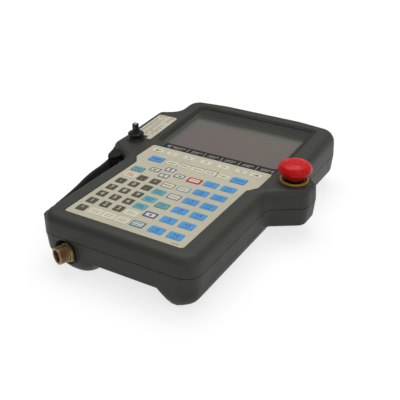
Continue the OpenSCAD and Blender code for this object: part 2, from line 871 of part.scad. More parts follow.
module estop_nut() {
    at_stop() color([0.6, 0.6, 0.62]) difference() {
        translate([0, 0, roof_z - 4]) cylinder(d = stop_neck_d + 7, h = 4, $fn = 6);
        translate([0, 0, roof_z - 5]) cylinder(d = stop_neck_d + 2 * seat_gap, h = 6);
    }
}
module estop_plunger() {
    at_stop() color([0.75, 0.75, 0.75])
        translate([0, 0, plunger_low]) cylinder(r = plunger_r, h = cup_z + 3 - plunger_low);
}
module estop_button() {
    R = stop_d / 2;
    wide_z = skirt_z + 6.4;
    rise = stop_top - wide_z;
    at_stop() color([0.8, 0.1, 0.12]) rotate_extrude($fn = 72) polygon(concat(
        [
            [0, cup_z + 3.05], [plunger_r + seat_gap, cup_z + 3.05],
            [plunger_r + seat_gap, cup_z], [cup_r, cup_z], [cup_r, skirt_z],
            [skirt_r - 0.3, skirt_z], [skirt_r, skirt_z + 0.3], [skirt_r, skirt_z + 1.4],
            [skirt_r + 0.6, skirt_z + 2.6], [R - 2.2, wide_z - 1.9], [R - 0.7, wide_z - 0.9]
        ],
        [for (a = [0 : 10 : 80]) [R - 5.6 + 5.6 * cos(a), wide_z + (rise - 1.2) * sin(a)]],
        [[R * 0.5, stop_top - 0.5], [R * 0.3, stop_top - 0.1], [0, stop_top]]
    ));
}
module estop_contacts() {
    side = 20;
    at_stop() color([0.12, 0.12, 0.12]) difference() {
        translate([-side / 2, -side / 2, neck_low - 17]) cube([side, side, 17]);
        translate([0, 0, plunger_low - stop_travel - 1])
            cylinder(r = plunger_r + 0.4, h = 30);
    }
}

// ---------------------------------------------------------------- power switch
power_neck_d = 10;
module at_power() {
    place() translate([-power_x, power_y, 0]) children();
}
power_r = power_d / 2;
knob_z = pad_z + 2.4;
knob_h = 5.6;
module power_base() {
    at_power() color([0.07, 0.07, 0.07]) difference() {
        union() {
            translate([0, 0, pad_z]) cylinder(r1 = power_r, r2 = power_r - 0.8, h = 2.1);
            translate([0, 0, roof_z - 3]) cylinder(d = power_neck_d, h = pad_z - roof_z + 4);
        }
        translate([0, 0, roof_z - 4]) cylinder(d = power_shaft_d + 2 * run, h = 30);
    }
}
module power_knob() {
    neck_z = knob_z + knob_h;
    blade_top = power_top - neck_z;
    at_power() color([0.06, 0.06, 0.06]) {
        difference() {
            rotate_extrude() polygon([
                [0, knob_z], [power_r - 0.5, knob_z], [power_r - 0.5, knob_z + knob_h - 1.4],
                [power_r - 2, knob_z + knob_h - 0.2], [4.6, neck_z], [4, neck_z + 2],
                [0, neck_z + 2]
            ]);
            // grip flutes round the rim
            for (a = [0 : 20 : 340])
                rotate([0, 0, a])
                    translate([power_r, 0, knob_z - 1])
                        cylinder(r = 0.9, h = knob_h - 0.6, $fn = 16);
        }
        translate([0, 0, neck_z + 1])
            linear_extrude(height = blade_top - 1)
                polygon(rounded(box_corners(-blade_w / 2, blade_w / 2, -blade_w / 2,
                    blade_w / 2, 1), 0, 4));
        translate([0, 0, roof_z - 8]) cylinder(d = power_shaft_d, h = knob_z - roof_z + 8 + eps);
    }
}
module power_switch() {
    w = power_d - 1;
    deep = 14;
    at_power() color([0.15, 0.15, 0.16]) difference() {
        translate([-w / 2, -w / 2, roof_z - 3 - deep]) cube([w, w, deep]);
        translate([0, 0, roof_z - 9]) cylinder(d = power_shaft_d + 2 * run, h = 30);
    }
}

// ---------------------------------------------------------------- enabling levers
module enable_lever_right() {
    place() color([0.36, 0.36, 0.34]) right_slope() lever();
}
module enable_lever_left() {
    place() color([0.36, 0.36, 0.34]) left_slope() lever();
}
module enable_pin_right() {
    place() color([0.7, 0.7, 0.72]) right_slope() lever_pin();
}
module enable_pin_left() {
    place() color([0.7, 0.7, 0.72]) left_slope() lever_pin();
}
module enable_switch_right() {
    place() color([0.1, 0.1, 0.1]) right_slope() lever_switch();
}
module enable_switch_left() {
    place() color([0.1, 0.1, 0.1]) left_slope() lever_switch();
}

// ---------------------------------------------------------------- connector
insert_low = -6;
pin_circle = (plug_bore_r - seat_gap) * 0.62;
module connector_gasket() {
    place() color([0.05, 0.05, 0.05]) plug_frame() difference() {
        cylinder(r = seat_r - 0.5, h = gasket_t);
        translate([0, 0, -1]) cylinder(r = neck_r + seat_gap, h = 5);
    }
}
module connector_nut() {
    place() color([0.47, 0.4, 0.27]) plug_frame() difference() {
        translate([0, 0, gasket_t]) cylinder(d = nut_af / cos(30), h = nut_t, $fn = 6);
        translate([0, 0, -1]) cylinder(r = neck_r + seat_gap, h = 20);
    }
}
module connector_shell() {
    place() color([0.45, 0.38, 0.25]) plug_frame() difference() {
        union() {
            translate([0, 0, insert_low - 4])
                cylinder(r = neck_r, h = 4 - insert_low + neck_top + 1);
            translate([0, 0, neck_top]) cylinder(r = plug_r, h = plug_len - neck_top);
        }
        translate([0, 0, insert_low - 5]) cylinder(r = plug_bore_r, h = 40);
    }
}
module connector_insert() {
    place() color([0.1, 0.1, 0.1]) plug_frame()
        translate([0, 0, insert_low])
            cylinder(r = plug_bore_r - seat_gap, h = plug_len - socket_depth - insert_low);
}
module connector_pins() {
    z0 = plug_len - socket_depth;
    place() color([0.85, 0.7, 0.35]) plug_frame()
        for (a = [0 : 45 : 315])
            rotate([0, 0, a])
                translate([pin_circle, 0, z0])
                    cylinder(r = 0.6, h = socket_depth * 0.35, $fn = 24);
}

// ---------------------------------------------------------------- hand strap
strap_low = strap_top + strap_band;
hs = strap_t / 2;
plate_t = 1.6;
loop_r = strap_pin_d / 2 + run + strap_t;
// Frame of the neck's slope: how far along it, and how far out of it
neck_dir = unit([-(sw - bw), shoulder_y0 - neck_y]);
neck_out = [-neck_dir.y, neck_dir.x];
function on_neck(s, d) = [-bw, neck_y] + s * neck_dir + d * neck_out;
pin_pos = on_neck(11, 2 * clear + plate_t + loop_r);
run_x = pin_pos.x - loop_r + hs;
wrap_c = [-(bw - corner_r), corner_r - end_margin];
wrap_r = corner_r + clear + hs;
// Course of the band from the pin to the corner: shares of the way in, and of the height
run_shares = [
    [0, 1], [0.12, 0.88], [0.35, 0.77], [0.58, 0.66], [0.78, 0.5], [0.925, 0.32], [0.985, 0.17]
];
strap_path = concat(
    [for (q = run_shares) [run_x + q[0] * (wrap_c.x - wrap_r - run_x), pin_pos.y * q[1]]],
    [for (a = [186 : 12 : 258]) wrap_c + wrap_r * [cos(a), sin(a)]],
    [[wrap_c.x + 1, -end_margin - clear - hs]]
);
function side_pt(path, i, d) =
    let (
        n = len(path),
        a = path[max(i - 1, 0)],
        b = path[min(i + 1, n - 1)]
    )
    path[i] + d * left_of(unit(b - a));
function band(path, t) = concat(
    [for (i = [0 : len(path) - 1]) side_pt(path, i, -t / 2)],
    [for (i = [len(path) - 1 : -1 : 0]) side_pt(path, i, t / 2)]
);
module hand_strap() {
    place() color([0.08, 0.08, 0.08]) difference() {
        union() {
            prism(band(strap_path, strap_t), -strap_low, -strap_top);
            translate([pin_pos.x, pin_pos.y, -strap_low])
                cylinder(r = loop_r, h = strap_band);
        }
        translate([pin_pos.x, pin_pos.y, -strap_low - 1])
            cylinder(d = strap_pin_d + 2 * run, h = strap_band + 2);
        clamp_holes(0.2);
    }
}
bracket_top = strap_top - 4.2;
bracket_low = strap_low + 4;
cheek_t = 3.6;
module strap_bracket() {
    px = pin_pos.x;
    py = pin_pos.y;
    cheek = [
        on_neck(9, clear), [px + 5.4, py - 1], [px + 3, py - 5], [px - 3.6, py - 5.4],
        [px - 6.4, py - 1], on_neck(29, clear)
    ];
    plate = [
        on_neck(9, clear), on_neck(9, clear + plate_t), on_neck(29, clear + plate_t),
        on_neck(29, clear)
    ];
    place() color([0.06, 0.06, 0.06]) difference() {
        union() {
            prism(cheek, -bracket_top - cheek_t, -bracket_top);
            prism(cheek, -bracket_low, -bracket_low + cheek_t);
            prism(plate, -bracket_low, -bracket_top);
        }
        translate([px, py, -bracket_low + 1])
            cylinder(d = strap_pin_d + 2 * seat_gap, h = 60);
    }
}
module strap_pin() {
    place() color([0.6, 0.6, 0.6])
        translate([pin_pos.x, pin_pos.y, -bracket_low + 1])
            cylinder(d = strap_pin_d, h = bracket_low - bracket_top - 1);
}
clamp_x0 = wrap_c.x - 4.5;
clamp_x1 = wrap_c.x + 1;
clamp_x = wrap_c.x - 1.4;
clamp_z = [-strap_top - 5, -strap_low + 5];
clamp_t = 2;
clamp_y = -end_margin - clear - strap_t;
module clamp_holes(extra) {
    for (z = clamp_z)
        translate([clamp_x, clamp_y - clamp_t - 1, z])
            rotate([-90, 0, 0])
                cylinder(r = 1.3 + extra, h = strap_t + clamp_t + 2);
}
module strap_clamp() {
    place() color([0.06, 0.06, 0.06]) difference() {
        translate([clamp_x0, clamp_y - clamp_t, -strap_low])
            cube([clamp_x1 - clamp_x0, clamp_t, strap_band]);
        clamp_holes(0.1);
    }
}
module strap_screws() {
    place() color([0.6, 0.6, 0.62])
        for (z = clamp_z)
            translate([clamp_x, clamp_y - clamp_t, z]) rotate([-90, 0, 0]) {
                translate([0, 0, -0.6]) cylinder(r = 1.3, h = clamp_t + strap_t + 0.6);
                translate([0, 0, -1.2]) cylinder(r = 2.3, h = 1.2);
            }
}

front_housing();
rear_housing();
housing_seal();
keypad_overlay();
dome_sheet();
keypad_board();
keys_cream();
keys_blue();
keys_dark();
keys_cyan();
key_hold();
status_strip();
display_window();
display_panel();
display_bracket();
main_board();
board_screws();
ribbon_cable();
label_plate();
estop_ring();
estop_bushing();
estop_nut();
estop_plunger();
estop_button();
estop_contacts();
power_base();
power_knob();
power_switch();
enable_lever_right();
enable_lever_left();
enable_pin_right();
enable_pin_left();
enable_switch_right();
enable_switch_left();
connector_gasket();
connector_nut();
connector_shell();
connector_insert();
connector_pins();
hand_strap();
strap_bracket();
strap_pin();
strap_clamp();
strap_screws();
housing_screws();
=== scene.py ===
import math
import random

import bmesh
import bpy
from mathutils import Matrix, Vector


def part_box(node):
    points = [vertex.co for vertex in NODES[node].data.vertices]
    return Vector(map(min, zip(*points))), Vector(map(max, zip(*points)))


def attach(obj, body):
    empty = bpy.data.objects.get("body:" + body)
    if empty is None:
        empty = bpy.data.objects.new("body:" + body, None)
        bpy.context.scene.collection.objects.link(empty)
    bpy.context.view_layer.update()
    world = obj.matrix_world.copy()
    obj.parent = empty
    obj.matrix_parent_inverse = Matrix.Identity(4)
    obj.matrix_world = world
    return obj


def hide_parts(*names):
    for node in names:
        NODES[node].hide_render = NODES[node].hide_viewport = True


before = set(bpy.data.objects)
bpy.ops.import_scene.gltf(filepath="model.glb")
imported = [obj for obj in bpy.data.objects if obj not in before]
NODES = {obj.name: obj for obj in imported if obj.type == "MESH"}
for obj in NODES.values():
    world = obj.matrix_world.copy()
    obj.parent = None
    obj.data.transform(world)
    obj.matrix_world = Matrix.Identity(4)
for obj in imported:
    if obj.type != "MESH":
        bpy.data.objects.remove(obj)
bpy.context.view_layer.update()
random.seed(7)

# ------------------------------------------------------------------ places
# The key sheet gives the working frame: its lower edge's middle on its surface, in mm.
low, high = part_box("keypad_overlay")
OX, OY, OZ = (low.x + high.x) / 2, low.y, high.z
FOLD = 160.0  # where the head starts to tilt
FACE = 0.5  # the housing's face above the sheet
TILT = math.radians(3.5)
# the screen window, in the tilted head's own frame
WIN_X0, WIN_X1 = -66.5, 66.5
WIN_Y0, WIN_Y1 = 167.0, 244.0
WIN_Z = -6
# the sunk bezel round the window: half its width, and its lower and upper edge
BEZEL_HALF = 74.5
BEZEL_Y0, BEZEL_Y1 = 164.6, 264.4


def P(x, y, z=0.0):
    """A point of the working frame, in metres."""
    return Vector((OX + x / 1000, OY + y / 1000, OZ + z / 1000))


def H(x, y, z=0.0):
    """A point of the tilted head, z measured from its face."""
    d = y - FOLD
    along = FOLD + d * math.cos(TILT) - z * math.sin(TILT)
    return P(x, along, FACE + d * math.sin(TILT) + z * math.cos(TILT))


def lin(*rgb):
    """A display colour from 0 to 255, made linear."""
    part = [c / 255 for c in rgb]
    part = [c / 12.92 if c <= 0.04045 else ((c + 0.055) / 1.055) ** 2.4 for c in part]
    return (*part, 1.0)


def scaled(color, k):
    return tuple(min(1, v * k) for v in color[:3]) + (1,)


# ------------------------------------------------------------------ materials
class Mat:
    """Builds one node material step by step."""

    def __init__(self, name, rough=0.5, metal=0.0, spec=0.5, coat=0.0, coat_rough=0.1):
        m = bpy.data.materials.new(name)
        m.use_nodes = True
        self.m, self.t = m, m.node_tree
        self.b = self.t.nodes["Principled BSDF"]
        self.b.inputs["Roughness"].default_value = rough
        self.b.inputs["Metallic"].default_value = metal
        self.b.inputs["Specular IOR Level"].default_value = spec
        self.b.inputs["Coat Weight"].default_value = coat
        self.b.inputs["Coat Roughness"].default_value = coat_rough
        self.co = self.t.nodes.new("ShaderNodeTexCoord").outputs["Object"]
        self.height = None

    def n(self, kind, **props):
        node = self.t.nodes.new(kind)
        for k, v in props.items():
            setattr(node, k, v)
        return node

    def put(self, sock, value):
        if hasattr(value, "is_linked"):
            self.t.links.new(value, sock)
        else:
            sock.default_value = value

    def math(self, op, a, b=0.0, c=None):
        node = self.n("ShaderNodeMath", operation=op)
        self.put(node.inputs[0], a)
        self.put(node.inputs[1], b)
        if c is not None:
            self.put(node.inputs[2], c)
        return node.outputs[0]

    def noise(self, scale, detail=3.0, rough=0.5, stretch=(1, 1, 1), off=0.0):
        mp = self.n("ShaderNodeMapping")
        mp.inputs["Scale"].default_value = stretch
        mp.inputs["Location"].default_value = (off, off * 0.7, off * 0.3)
        self.put(mp.inputs["Vector"], self.co)
        nz = self.n("ShaderNodeTexNoise")
        nz.inputs["Scale"].default_value = scale
        nz.inputs["Detail"].default_value = detail
        nz.inputs["Roughness"].default_value = rough
        self.put(nz.inputs["Vector"], mp.outputs[0])
        return nz.outputs["Fac"]

    def xyz(self):
        """The three object coordinates."""
        sep = self.n("ShaderNodeSeparateXYZ")
        self.put(sep.inputs[0], self.co)
        return sep.outputs

    def span(self, v, a, b):
        """0 to 1 as v goes from a to b."""
        node = self.n("ShaderNodeMapRange", clamp=True)
        self.put(node.inputs["Value"], v)
        node.inputs["From Min"].default_value = a
        node.inputs["From Max"].default_value = b
        return node.outputs[0]

    def mix(self, fac, a, b):
        node = self.n("ShaderNodeMix", data_type="RGBA")
        self.put(node.inputs[0], fac)
        self.put(node.inputs[6], a)
        self.put(node.inputs[7], b)
        return node.outputs[2]

    def color(self, v):
        self.put(self.b.inputs["Base Color"], v)

    def rough(self, v):
        self.put(self.b.inputs["Roughness"], v)

    def bump(self, v, strength, dist):
        node = self.n("ShaderNodeBump")
        node.inputs["Strength"].default_value = strength
        node.inputs["Distance"].default_value = dist
        self.put(node.inputs["Height"], v)
        if self.height is not None:
            self.put(node.inputs["Normal"], self.height)
        self.height = node.outputs[0]
        self.put(self.b.inputs["Normal"], self.height)

    def edge(self, lo=0.52, hi=0.6):
        """1 on outer edges, where handling rubs."""
        g = self.n("ShaderNodeNewGeometry")
        return self.span(g.outputs["Pointiness"], lo, hi)


def recess_paint_masks(m):
    """Two masks of the screen recess below the tilted face: its flat bezel, which takes painted
    shade, and its steep wall, which takes painted light.
    """
    x, y, z = m.xyz()
    a, b = H(0, FOLD), H(0, FOLD + 100)
    slope = (b.z - a.z) / (b.y - a.y)
    plane = m.math("MULTIPLY_ADD", y, slope, a.z - slope * a.y)
    depth = m.math("SUBTRACT", z, plane)
    deep = m.span(depth, -0.0003, -0.0009)
    off = m.math("ABSOLUTE", m.math("SUBTRACT", x, OX))
    wide = m.span(off, BEZEL_HALF / 1000, (BEZEL_HALF - 0.7) / 1000)
    low = m.span(y, H(0, BEZEL_Y0).y, H(0, BEZEL_Y0 + 0.6).y)
    high = m.span(y, H(0, BEZEL_Y1).y, H(0, BEZEL_Y1 - 0.6).y)
    wall = m.span(depth, -0.0026, -0.003)
    inside = m.math("MULTIPLY", m.math("MULTIPLY", deep, wide), m.math("MULTIPLY", low, high))
    return inside, m.math("MULTIPLY", inside, wall)


def moulded(name, base, dark, light, rough=0.52, grain=900, wear=0.35, spec=0.36, painted_recess_shade=None):
    """Moulded plastic: fine spark grain, slow handling marks, rubbed edges."""
    m = Mat(name, rough, spec=spec)
    cloud = m.span(m.noise(14, 4), 0.3, 0.72)
    fine = m.noise(grain, 2, 0.6)
    speck = m.span(m.noise(grain * 0.45, 2, 0.7, off=3.1), 0.62, 0.78)
    c = m.mix(cloud, dark, base)
    c = m.mix(m.math("MULTIPLY", speck, 0.35), c, light)
    rub = m.math("MULTIPLY", m.edge(), m.span(m.noise(60, 3, 0.6, off=1.7), 0.35, 0.7))
    c = m.mix(m.math("MULTIPLY", rub, wear), c, light)
    # painted shade darkens the bezel of the screen recess, and a pale painted light covers its
    # steep wall, which lies in shade
    if painted_recess_shade:
        bezel, wall = recess_paint_masks(m)
        c = m.mix(m.math("MULTIPLY", bezel, 0.9), c, painted_recess_shade)
        c = m.mix(wall, c, PAINTED_WALL_LIGHT)
    m.color(c)
    scuff = m.span(m.noise(35, 5, 0.7, stretch=(1, 3, 1), off=5.2), 0.5, 0.8)
    matt = m.math("MULTIPLY_ADD", cloud, 0.08, rough - 0.03)
    m.rough(m.math("SUBTRACT", matt, m.math("MULTIPLY", scuff, 0.1)))
    m.bump(fine, 0.25, 0.00012)
    return m.m


def film(name, base, dark, rough=0.42, grain=1600):
    """Printed polyester film with a fine matt texture and slight soiling."""
    m = Mat(name, rough, spec=0.4)
    soil = m.span(m.noise(22, 5, 0.6, off=2.0), 0.42, 0.85)
    spots = m.span(m.noise(190, 3, 0.6, off=4.0), 0.66, 0.8)
    c = m.mix(m.math("MULTIPLY", soil, 0.45), base, dark)
    c = m.mix(m.math("MULTIPLY", spots, 0.22), c, dark)
    m.color(c)
    m.rough(m.math("MULTIPLY_ADD", m.noise(70, 3), 0.16, rough - 0.08))
    m.bump(m.noise(grain, 1, 0.5), 0.18, 0.00008)
    return m.m


def metal(name, base, dark, rough=0.3, brushed=300, metallic=1.0, tarnish=0.5):
    """Turned metal: fine streaks, dull stains, bright edges."""
    m = Mat(name, rough, metallic)
    streak = m.noise(brushed, 3, 0.6)
    stain = m.span(m.noise(70, 4, 0.65, off=6.0), 0.4, 0.72)
    c = m.mix(m.math("MULTIPLY", stain, tarnish), base, dark)
    m.color(m.mix(m.math("MULTIPLY", m.edge(0.5, 0.58), 0.5), c, scaled(base, 1.6)))
    m.rough(m.math("MULTIPLY_ADD", streak, 0.25, rough - 0.1))
    m.bump(streak, 0.2, 0.00005)
    return m.m


def webbing(name):
    """Woven strap: diagonal ribs across two crossed waves, with fluff and worn threads."""
    m = Mat(name, 0.85, spec=0.2)
    m.b.inputs["Sheen Weight"].default_value = 0.1
    m.b.inputs["Sheen Roughness"].default_value = 0.5
    _, y, z = m.xyz()
    up = m.math("MULTIPLY", z, 5200.0)
    run = m.math("MULTIPLY", y, 3400.0)
    a = m.math("SINE", m.math("ADD", up, run))
    b = m.math("SINE", m.math("SUBTRACT", up, run))
    weave = m.math("MAXIMUM", a, b)
    wv = m.span(weave, -0.4, 1.0)
    fuzz = m.noise(700, 4, 0.7)
    c = m.mix(wv, lin(7, 7, 7), lin(27, 27, 25))
    c = m.mix(m.math("MULTIPLY", m.span(fuzz, 0.55, 0.8), 0.3), c, lin(48, 46, 42))
    m.color(c)
    m.rough(m.math("MULTIPLY_ADD", fuzz, 0.2, 0.72))
    m.bump(weave, 0.6, 0.0002)
    m.bump(fuzz, 0.3, 0.0001)
    return m.m


# painted light: the pale colour given to the steep wall of the screen recess, which lies in shade
PAINTED_WALL_LIGHT = lin(112, 113, 104)
# the front housing's screen recess takes a dark colour of painted shade
HOUSING = moulded(
    "housing_front_plastic", lin(60, 61, 54), lin(54, 55, 48), lin(86, 86, 77),
    painted_recess_shade=lin(34, 34, 28))
REAR = moulded("housing_rear_plastic", lin(55, 56, 49), lin(49, 50, 44), lin(78, 78, 70))
LEVER = moulded("lever_plastic", lin(92, 91, 84), lin(80, 79, 73), lin(122, 120, 112), grain=700)
BLACK = moulded(
    "black_plastic", lin(22, 22, 22), lin(15, 15, 15), lin(52, 52, 50),
    rough=0.42, grain=700, wear=0.5)
STRAPS = moulded(
    "strap_black_plastic", lin(14, 14, 13), lin(9, 9, 9), lin(34, 34, 31),
    rough=0.55, grain=700, spec=0.22)
KNOB = moulded(
    "knob_plastic", lin(19, 19, 19), lin(12, 12, 12), lin(60, 60, 58),
    rough=0.36, grain=600, wear=0.6)
SEAL = moulded(
    "seal_rubber", lin(14, 14, 14), lin(9, 9, 9), lin(34, 34, 34),
    rough=0.7, grain=500, spec=0.2)
SHEET = film("key_sheet_film", lin(205, 199, 175), lin(178, 170, 146))
LABEL = film("label_film", lin(212, 205, 184), lin(168, 160, 138))
CREAM = film("key_cream_film", lin(229, 225, 205), lin(202, 196, 174), rough=0.38)
BLUE = film("key_blue_film", lin(82, 160, 222), lin(62, 138, 202), rough=0.38)
DARK = film("key_dark_film", lin(84, 80, 65), lin(64, 61, 49), rough=0.4)
CYAN = film("key_cyan_film", lin(112, 180, 188), lin(88, 154, 162), rough=0.38)
REDK = film("key_red_film", lin(198, 34, 40), lin(158, 24, 28), rough=0.38)
DOMES = film("dome_film", lin(200, 200, 192), lin(170, 170, 160))
INK = film("ink_dark", lin(48, 46, 42), lin(34, 32, 30), rough=0.5)
INKW = film("ink_white", lin(226, 224, 212), lin(200, 196, 182), rough=0.5)
INKB = film("ink_blue", lin(26, 84, 150), lin(18, 62, 118), rough=0.5)
INKC = film("ink_cyan", lin(84, 168, 190), lin(62, 140, 162), rough=0.5)
INKR = film("ink_red", lin(196, 44, 48), lin(150, 30, 34), rough=0.5)
INKO = film("ink_orange", lin(216, 120, 52), lin(176, 90, 36), rough=0.5)
STRIP = film("strip_film", lin(24, 24, 26), lin(14, 14, 16), rough=0.3)
RING = film("ring_film", lin(206, 164, 62), lin(168, 126, 42), rough=0.4, grain=700)
BRASS = metal(
    "olive_brass", lin(140, 118, 76), lin(84, 68, 44),
    rough=0.42, brushed=420, metallic=0.85, tarnish=0.7)
GOLD = metal("gold_pins", lin(214, 172, 92), lin(150, 110, 50), rough=0.25)
STEEL = metal("bright_steel", lin(176, 176, 178), lin(116, 116, 118), rough=0.32)
FABRIC = webbing("strap_webbing")


def stop_red():
    """Glossy red plastic with faint scratches."""
    m = Mat("stop_red_plastic", 0.3, spec=0.2, coat=0.04)
    cloud = m.span(m.noise(55, 3, 0.6), 0.3, 0.7)
    scratch = m.span(m.noise(160, 3, 0.6, stretch=(1, 6, 2)), 0.6, 0.75)
    c = m.mix(cloud, lin(208, 8, 7), lin(216, 11, 10))
    c = m.mix(m.math("MULTIPLY", scratch, 0.1), c, lin(222, 84, 84))
    m.color(c)
    m.rough(m.math("MULTIPLY_ADD", m.noise(90, 4, 0.6, off=2), 0.2, 0.22))
    m.bump(m.noise(450, 2), 0.06, 0.0001)
    return m.m


def board_green():
    """Circuit board with a pattern of tracks."""
    m = Mat("board_green", 0.4)
    tracks = m.n("ShaderNodeTexBrick")
    tracks.inputs["Scale"].default_value = 260
    tracks.inputs["Mortar Size"].default_value = 0.06
    tracks.inputs["Color1"].default_value = lin(22, 84, 50)
    tracks.inputs["Color2"].default_value = lin(26, 92, 56)
    tracks.inputs["Mortar"].default_value = lin(150, 140, 80)
    m.put(tracks.inputs["Vector"], m.co)
    m.color(m.mix(m.span(m.noise(120, 2), 0.4, 0.6), tracks.outputs["Color"], lin(18, 74, 44)))
    m.bump(tracks.outputs["Fac"], 0.3, 0.0001)
    return m.m


def screen_material():
    """A dark display behind a clear sheet: pale border round the panel, painted sheen across the
    panel, soft sheen over it.
    """
    c = H((WIN_X0 + WIN_X1) / 2, (WIN_Y0 + WIN_Y1) / 2, WIN_Z)
    m = Mat("display_glass", 0.12, coat=0.6, coat_rough=0.05)
    x, y, _ = m.xyz()
    x0, x1 = P(WIN_X0, 0).x, P(WIN_X1, 0).x
    y0, y1 = H(0, WIN_Y0, WIN_Z).y, H(0, WIN_Y1, WIN_Z).y
    # the border fades in over these distances from the window's edges
    left = m.span(x, x0 + 0.0105, x0 + 0.0055)
    right = m.span(x, x1 - 0.0046, x1 - 0.0024)
    top = m.span(y, y1 - 0.0125, y1 - 0.008)
    low = m.span(y, y0 + 0.0016, y0 + 0.0008)
    border = m.math("MAXIMUM", m.math("MAXIMUM", left, right), m.math("MAXIMUM", top, low))
    # painted sheen: the panel's tone shifts from bottom to top and lightens towards the right
    painted_sheen_down = m.span(y, c.y - 0.04, c.y + 0.04)
    side = m.span(x, c.x - 0.065, c.x + 0.065)
    panel = m.mix(painted_sheen_down, lin(117, 103, 99), lin(113, 103, 94))
    panel = m.mix(m.math("MULTIPLY", side, 0.4), panel, lin(123, 111, 99))
    panel = m.mix(m.math("MULTIPLY", m.noise(16, 3), 0.3), panel, lin(100, 92, 90))
    rim = m.mix(m.noise(40, 3), lin(88, 92, 86), lin(104, 107, 99))
    m.color(m.mix(border, panel, rim))
    smear = m.noise(26, 5, 0.7, stretch=(1, 2.5, 1))
    m.rough(m.math("MULTIPLY_ADD", smear, 0.16, 0.08))
    m.bump(m.noise(300, 2), 0.02, 0.00005)
    return m.m


GLASS = screen_material()

NODE_MATS = {
    "front_housing": HOUSING, "rear_housing": REAR, "housing_seal": SEAL,
    "keypad_overlay": SHEET, "dome_sheet": DOMES, "keypad_board": board_green(),
    "keys_cream": CREAM, "keys_blue": BLUE, "keys_dark": DARK, "keys_cyan": CYAN,
    "key_hold": REDK, "status_strip": STRIP, "display_window": GLASS, "display_panel": STEEL,
    "display_bracket": STEEL, "main_board": board_green(), "board_screws": STEEL,
    "ribbon_cable": DOMES, "label_plate": LABEL, "estop_ring": RING, "estop_bushing": BLACK,
    "estop_nut": STEEL, "estop_plunger": STEEL, "estop_button": stop_red(),
    "estop_contacts": BLACK, "power_base": BLACK, "power_knob": KNOB, "power_switch": BLACK,
    "enable_lever_right": LEVER, "enable_lever_left": LEVER, "enable_pin_right": STEEL,
    "enable_pin_left": STEEL, "enable_switch_right": BLACK, "enable_switch_left": BLACK,
    "connector_gasket": SEAL, "connector_nut": BRASS, "connector_shell": BRASS,
    "connector_insert": BLACK, "connector_pins": GOLD, "hand_strap": FABRIC,
    "strap_bracket": STRAPS, "strap_pin": STRAPS, "strap_clamp": STRAPS,
    "strap_screws": STRAPS, "housing_screws": STEEL,
}
WELD = 0.00001
REAL_EDGE = math.radians(24)


def smooth_group():
    """Joins split corners and shades smooth, except over real edges."""
    g = bpy.data.node_groups.new("smooth_by_angle", "GeometryNodeTree")
    g.interface.new_socket("Geometry", in_out="INPUT", socket_type="NodeSocketGeometry")
    g.interface.new_socket("Geometry", in_out="OUTPUT", socket_type="NodeSocketGeometry")
    i, o = g.nodes.new("NodeGroupInput"), g.nodes.new("NodeGroupOutput")
    rem = g.nodes.new("GeometryNodeRemoveAttribute")
    rem.inputs["Name"].default_value = "custom_normal"
    weld = g.nodes.new("GeometryNodeMergeByDistance")
    weld.inputs["Distance"].default_value = WELD
    ang = g.nodes.new("GeometryNodeInputMeshEdgeAngle")
    sharp = g.nodes.new("FunctionNodeCompare")
    sharp.data_type = "FLOAT"
    sharp.operation = "GREATER_THAN"
    sharp.inputs[1].default_value = REAL_EDGE
    faces = g.nodes.new("GeometryNodeSetShadeSmooth")
    faces.domain = "FACE"
    edges = g.nodes.new("GeometryNodeSetShadeSmooth")
    edges.domain = "EDGE"
    edges.inputs["Shade Smooth"].default_value = False
    L = g.links.new
    L(i.outputs[0], rem.inputs["Geometry"])
    L(rem.outputs[0], weld.inputs["Geometry"])
    L(weld.outputs[0], faces.inputs["Geometry"])
    L(faces.outputs[0], edges.inputs["Geometry"])
    L(ang.outputs["Unsigned Angle"], sharp.inputs[0])
    L(sharp.outputs[0], edges.inputs["Selection"])
    L(edges.outputs[0], o.inputs[0])
    return g


# every part takes its material and the smoothing
SMOOTH = smooth_group()
for name, obj in NODES.items():
    mat = NODE_MATS[name]
    for i in range(max(1, len(obj.material_slots))):
        if not obj.material_slots:
            obj.data.materials.append(mat)
        obj.material_slots[i].material = mat
    mod = obj.modifiers.new("smooth", "NODES")
    mod.node_group = SMOOTH


# ------------------------------------------------------------------ mesh helpers
def new_piece(name, verts, faces, mat, body, smooth=None):
    """A piece that rides on a body; smooth is the angle in degrees over which edges stay sharp."""
    me = bpy.data.meshes.new(name)
    me.from_pydata([tuple(v) for v in verts], [], faces)
    me.update()
    bm = bmesh.new()
    bm.from_mesh(me)
    bmesh.ops.recalc_face_normals(bm, faces=bm.faces)
    bm.to_mesh(me)
    bm.free()
    ob = bpy.data.objects.new(name, me)
    bpy.context.scene.collection.objects.link(ob)
    me.materials.append(mat)
    if smooth is not None:
        me.polygons.foreach_set("use_smooth", [True] * len(me.polygons))
        me.set_sharp_from_angle(angle=math.radians(smooth))
    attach(ob, body)
    return ob


THIRD = 2.0944  # a third of a turn
WORDS = (0.9, 1.3, 1.8)  # lengths of the bars that stand for words
WORD_GAP, SHORTEST = 0.45, 0.6


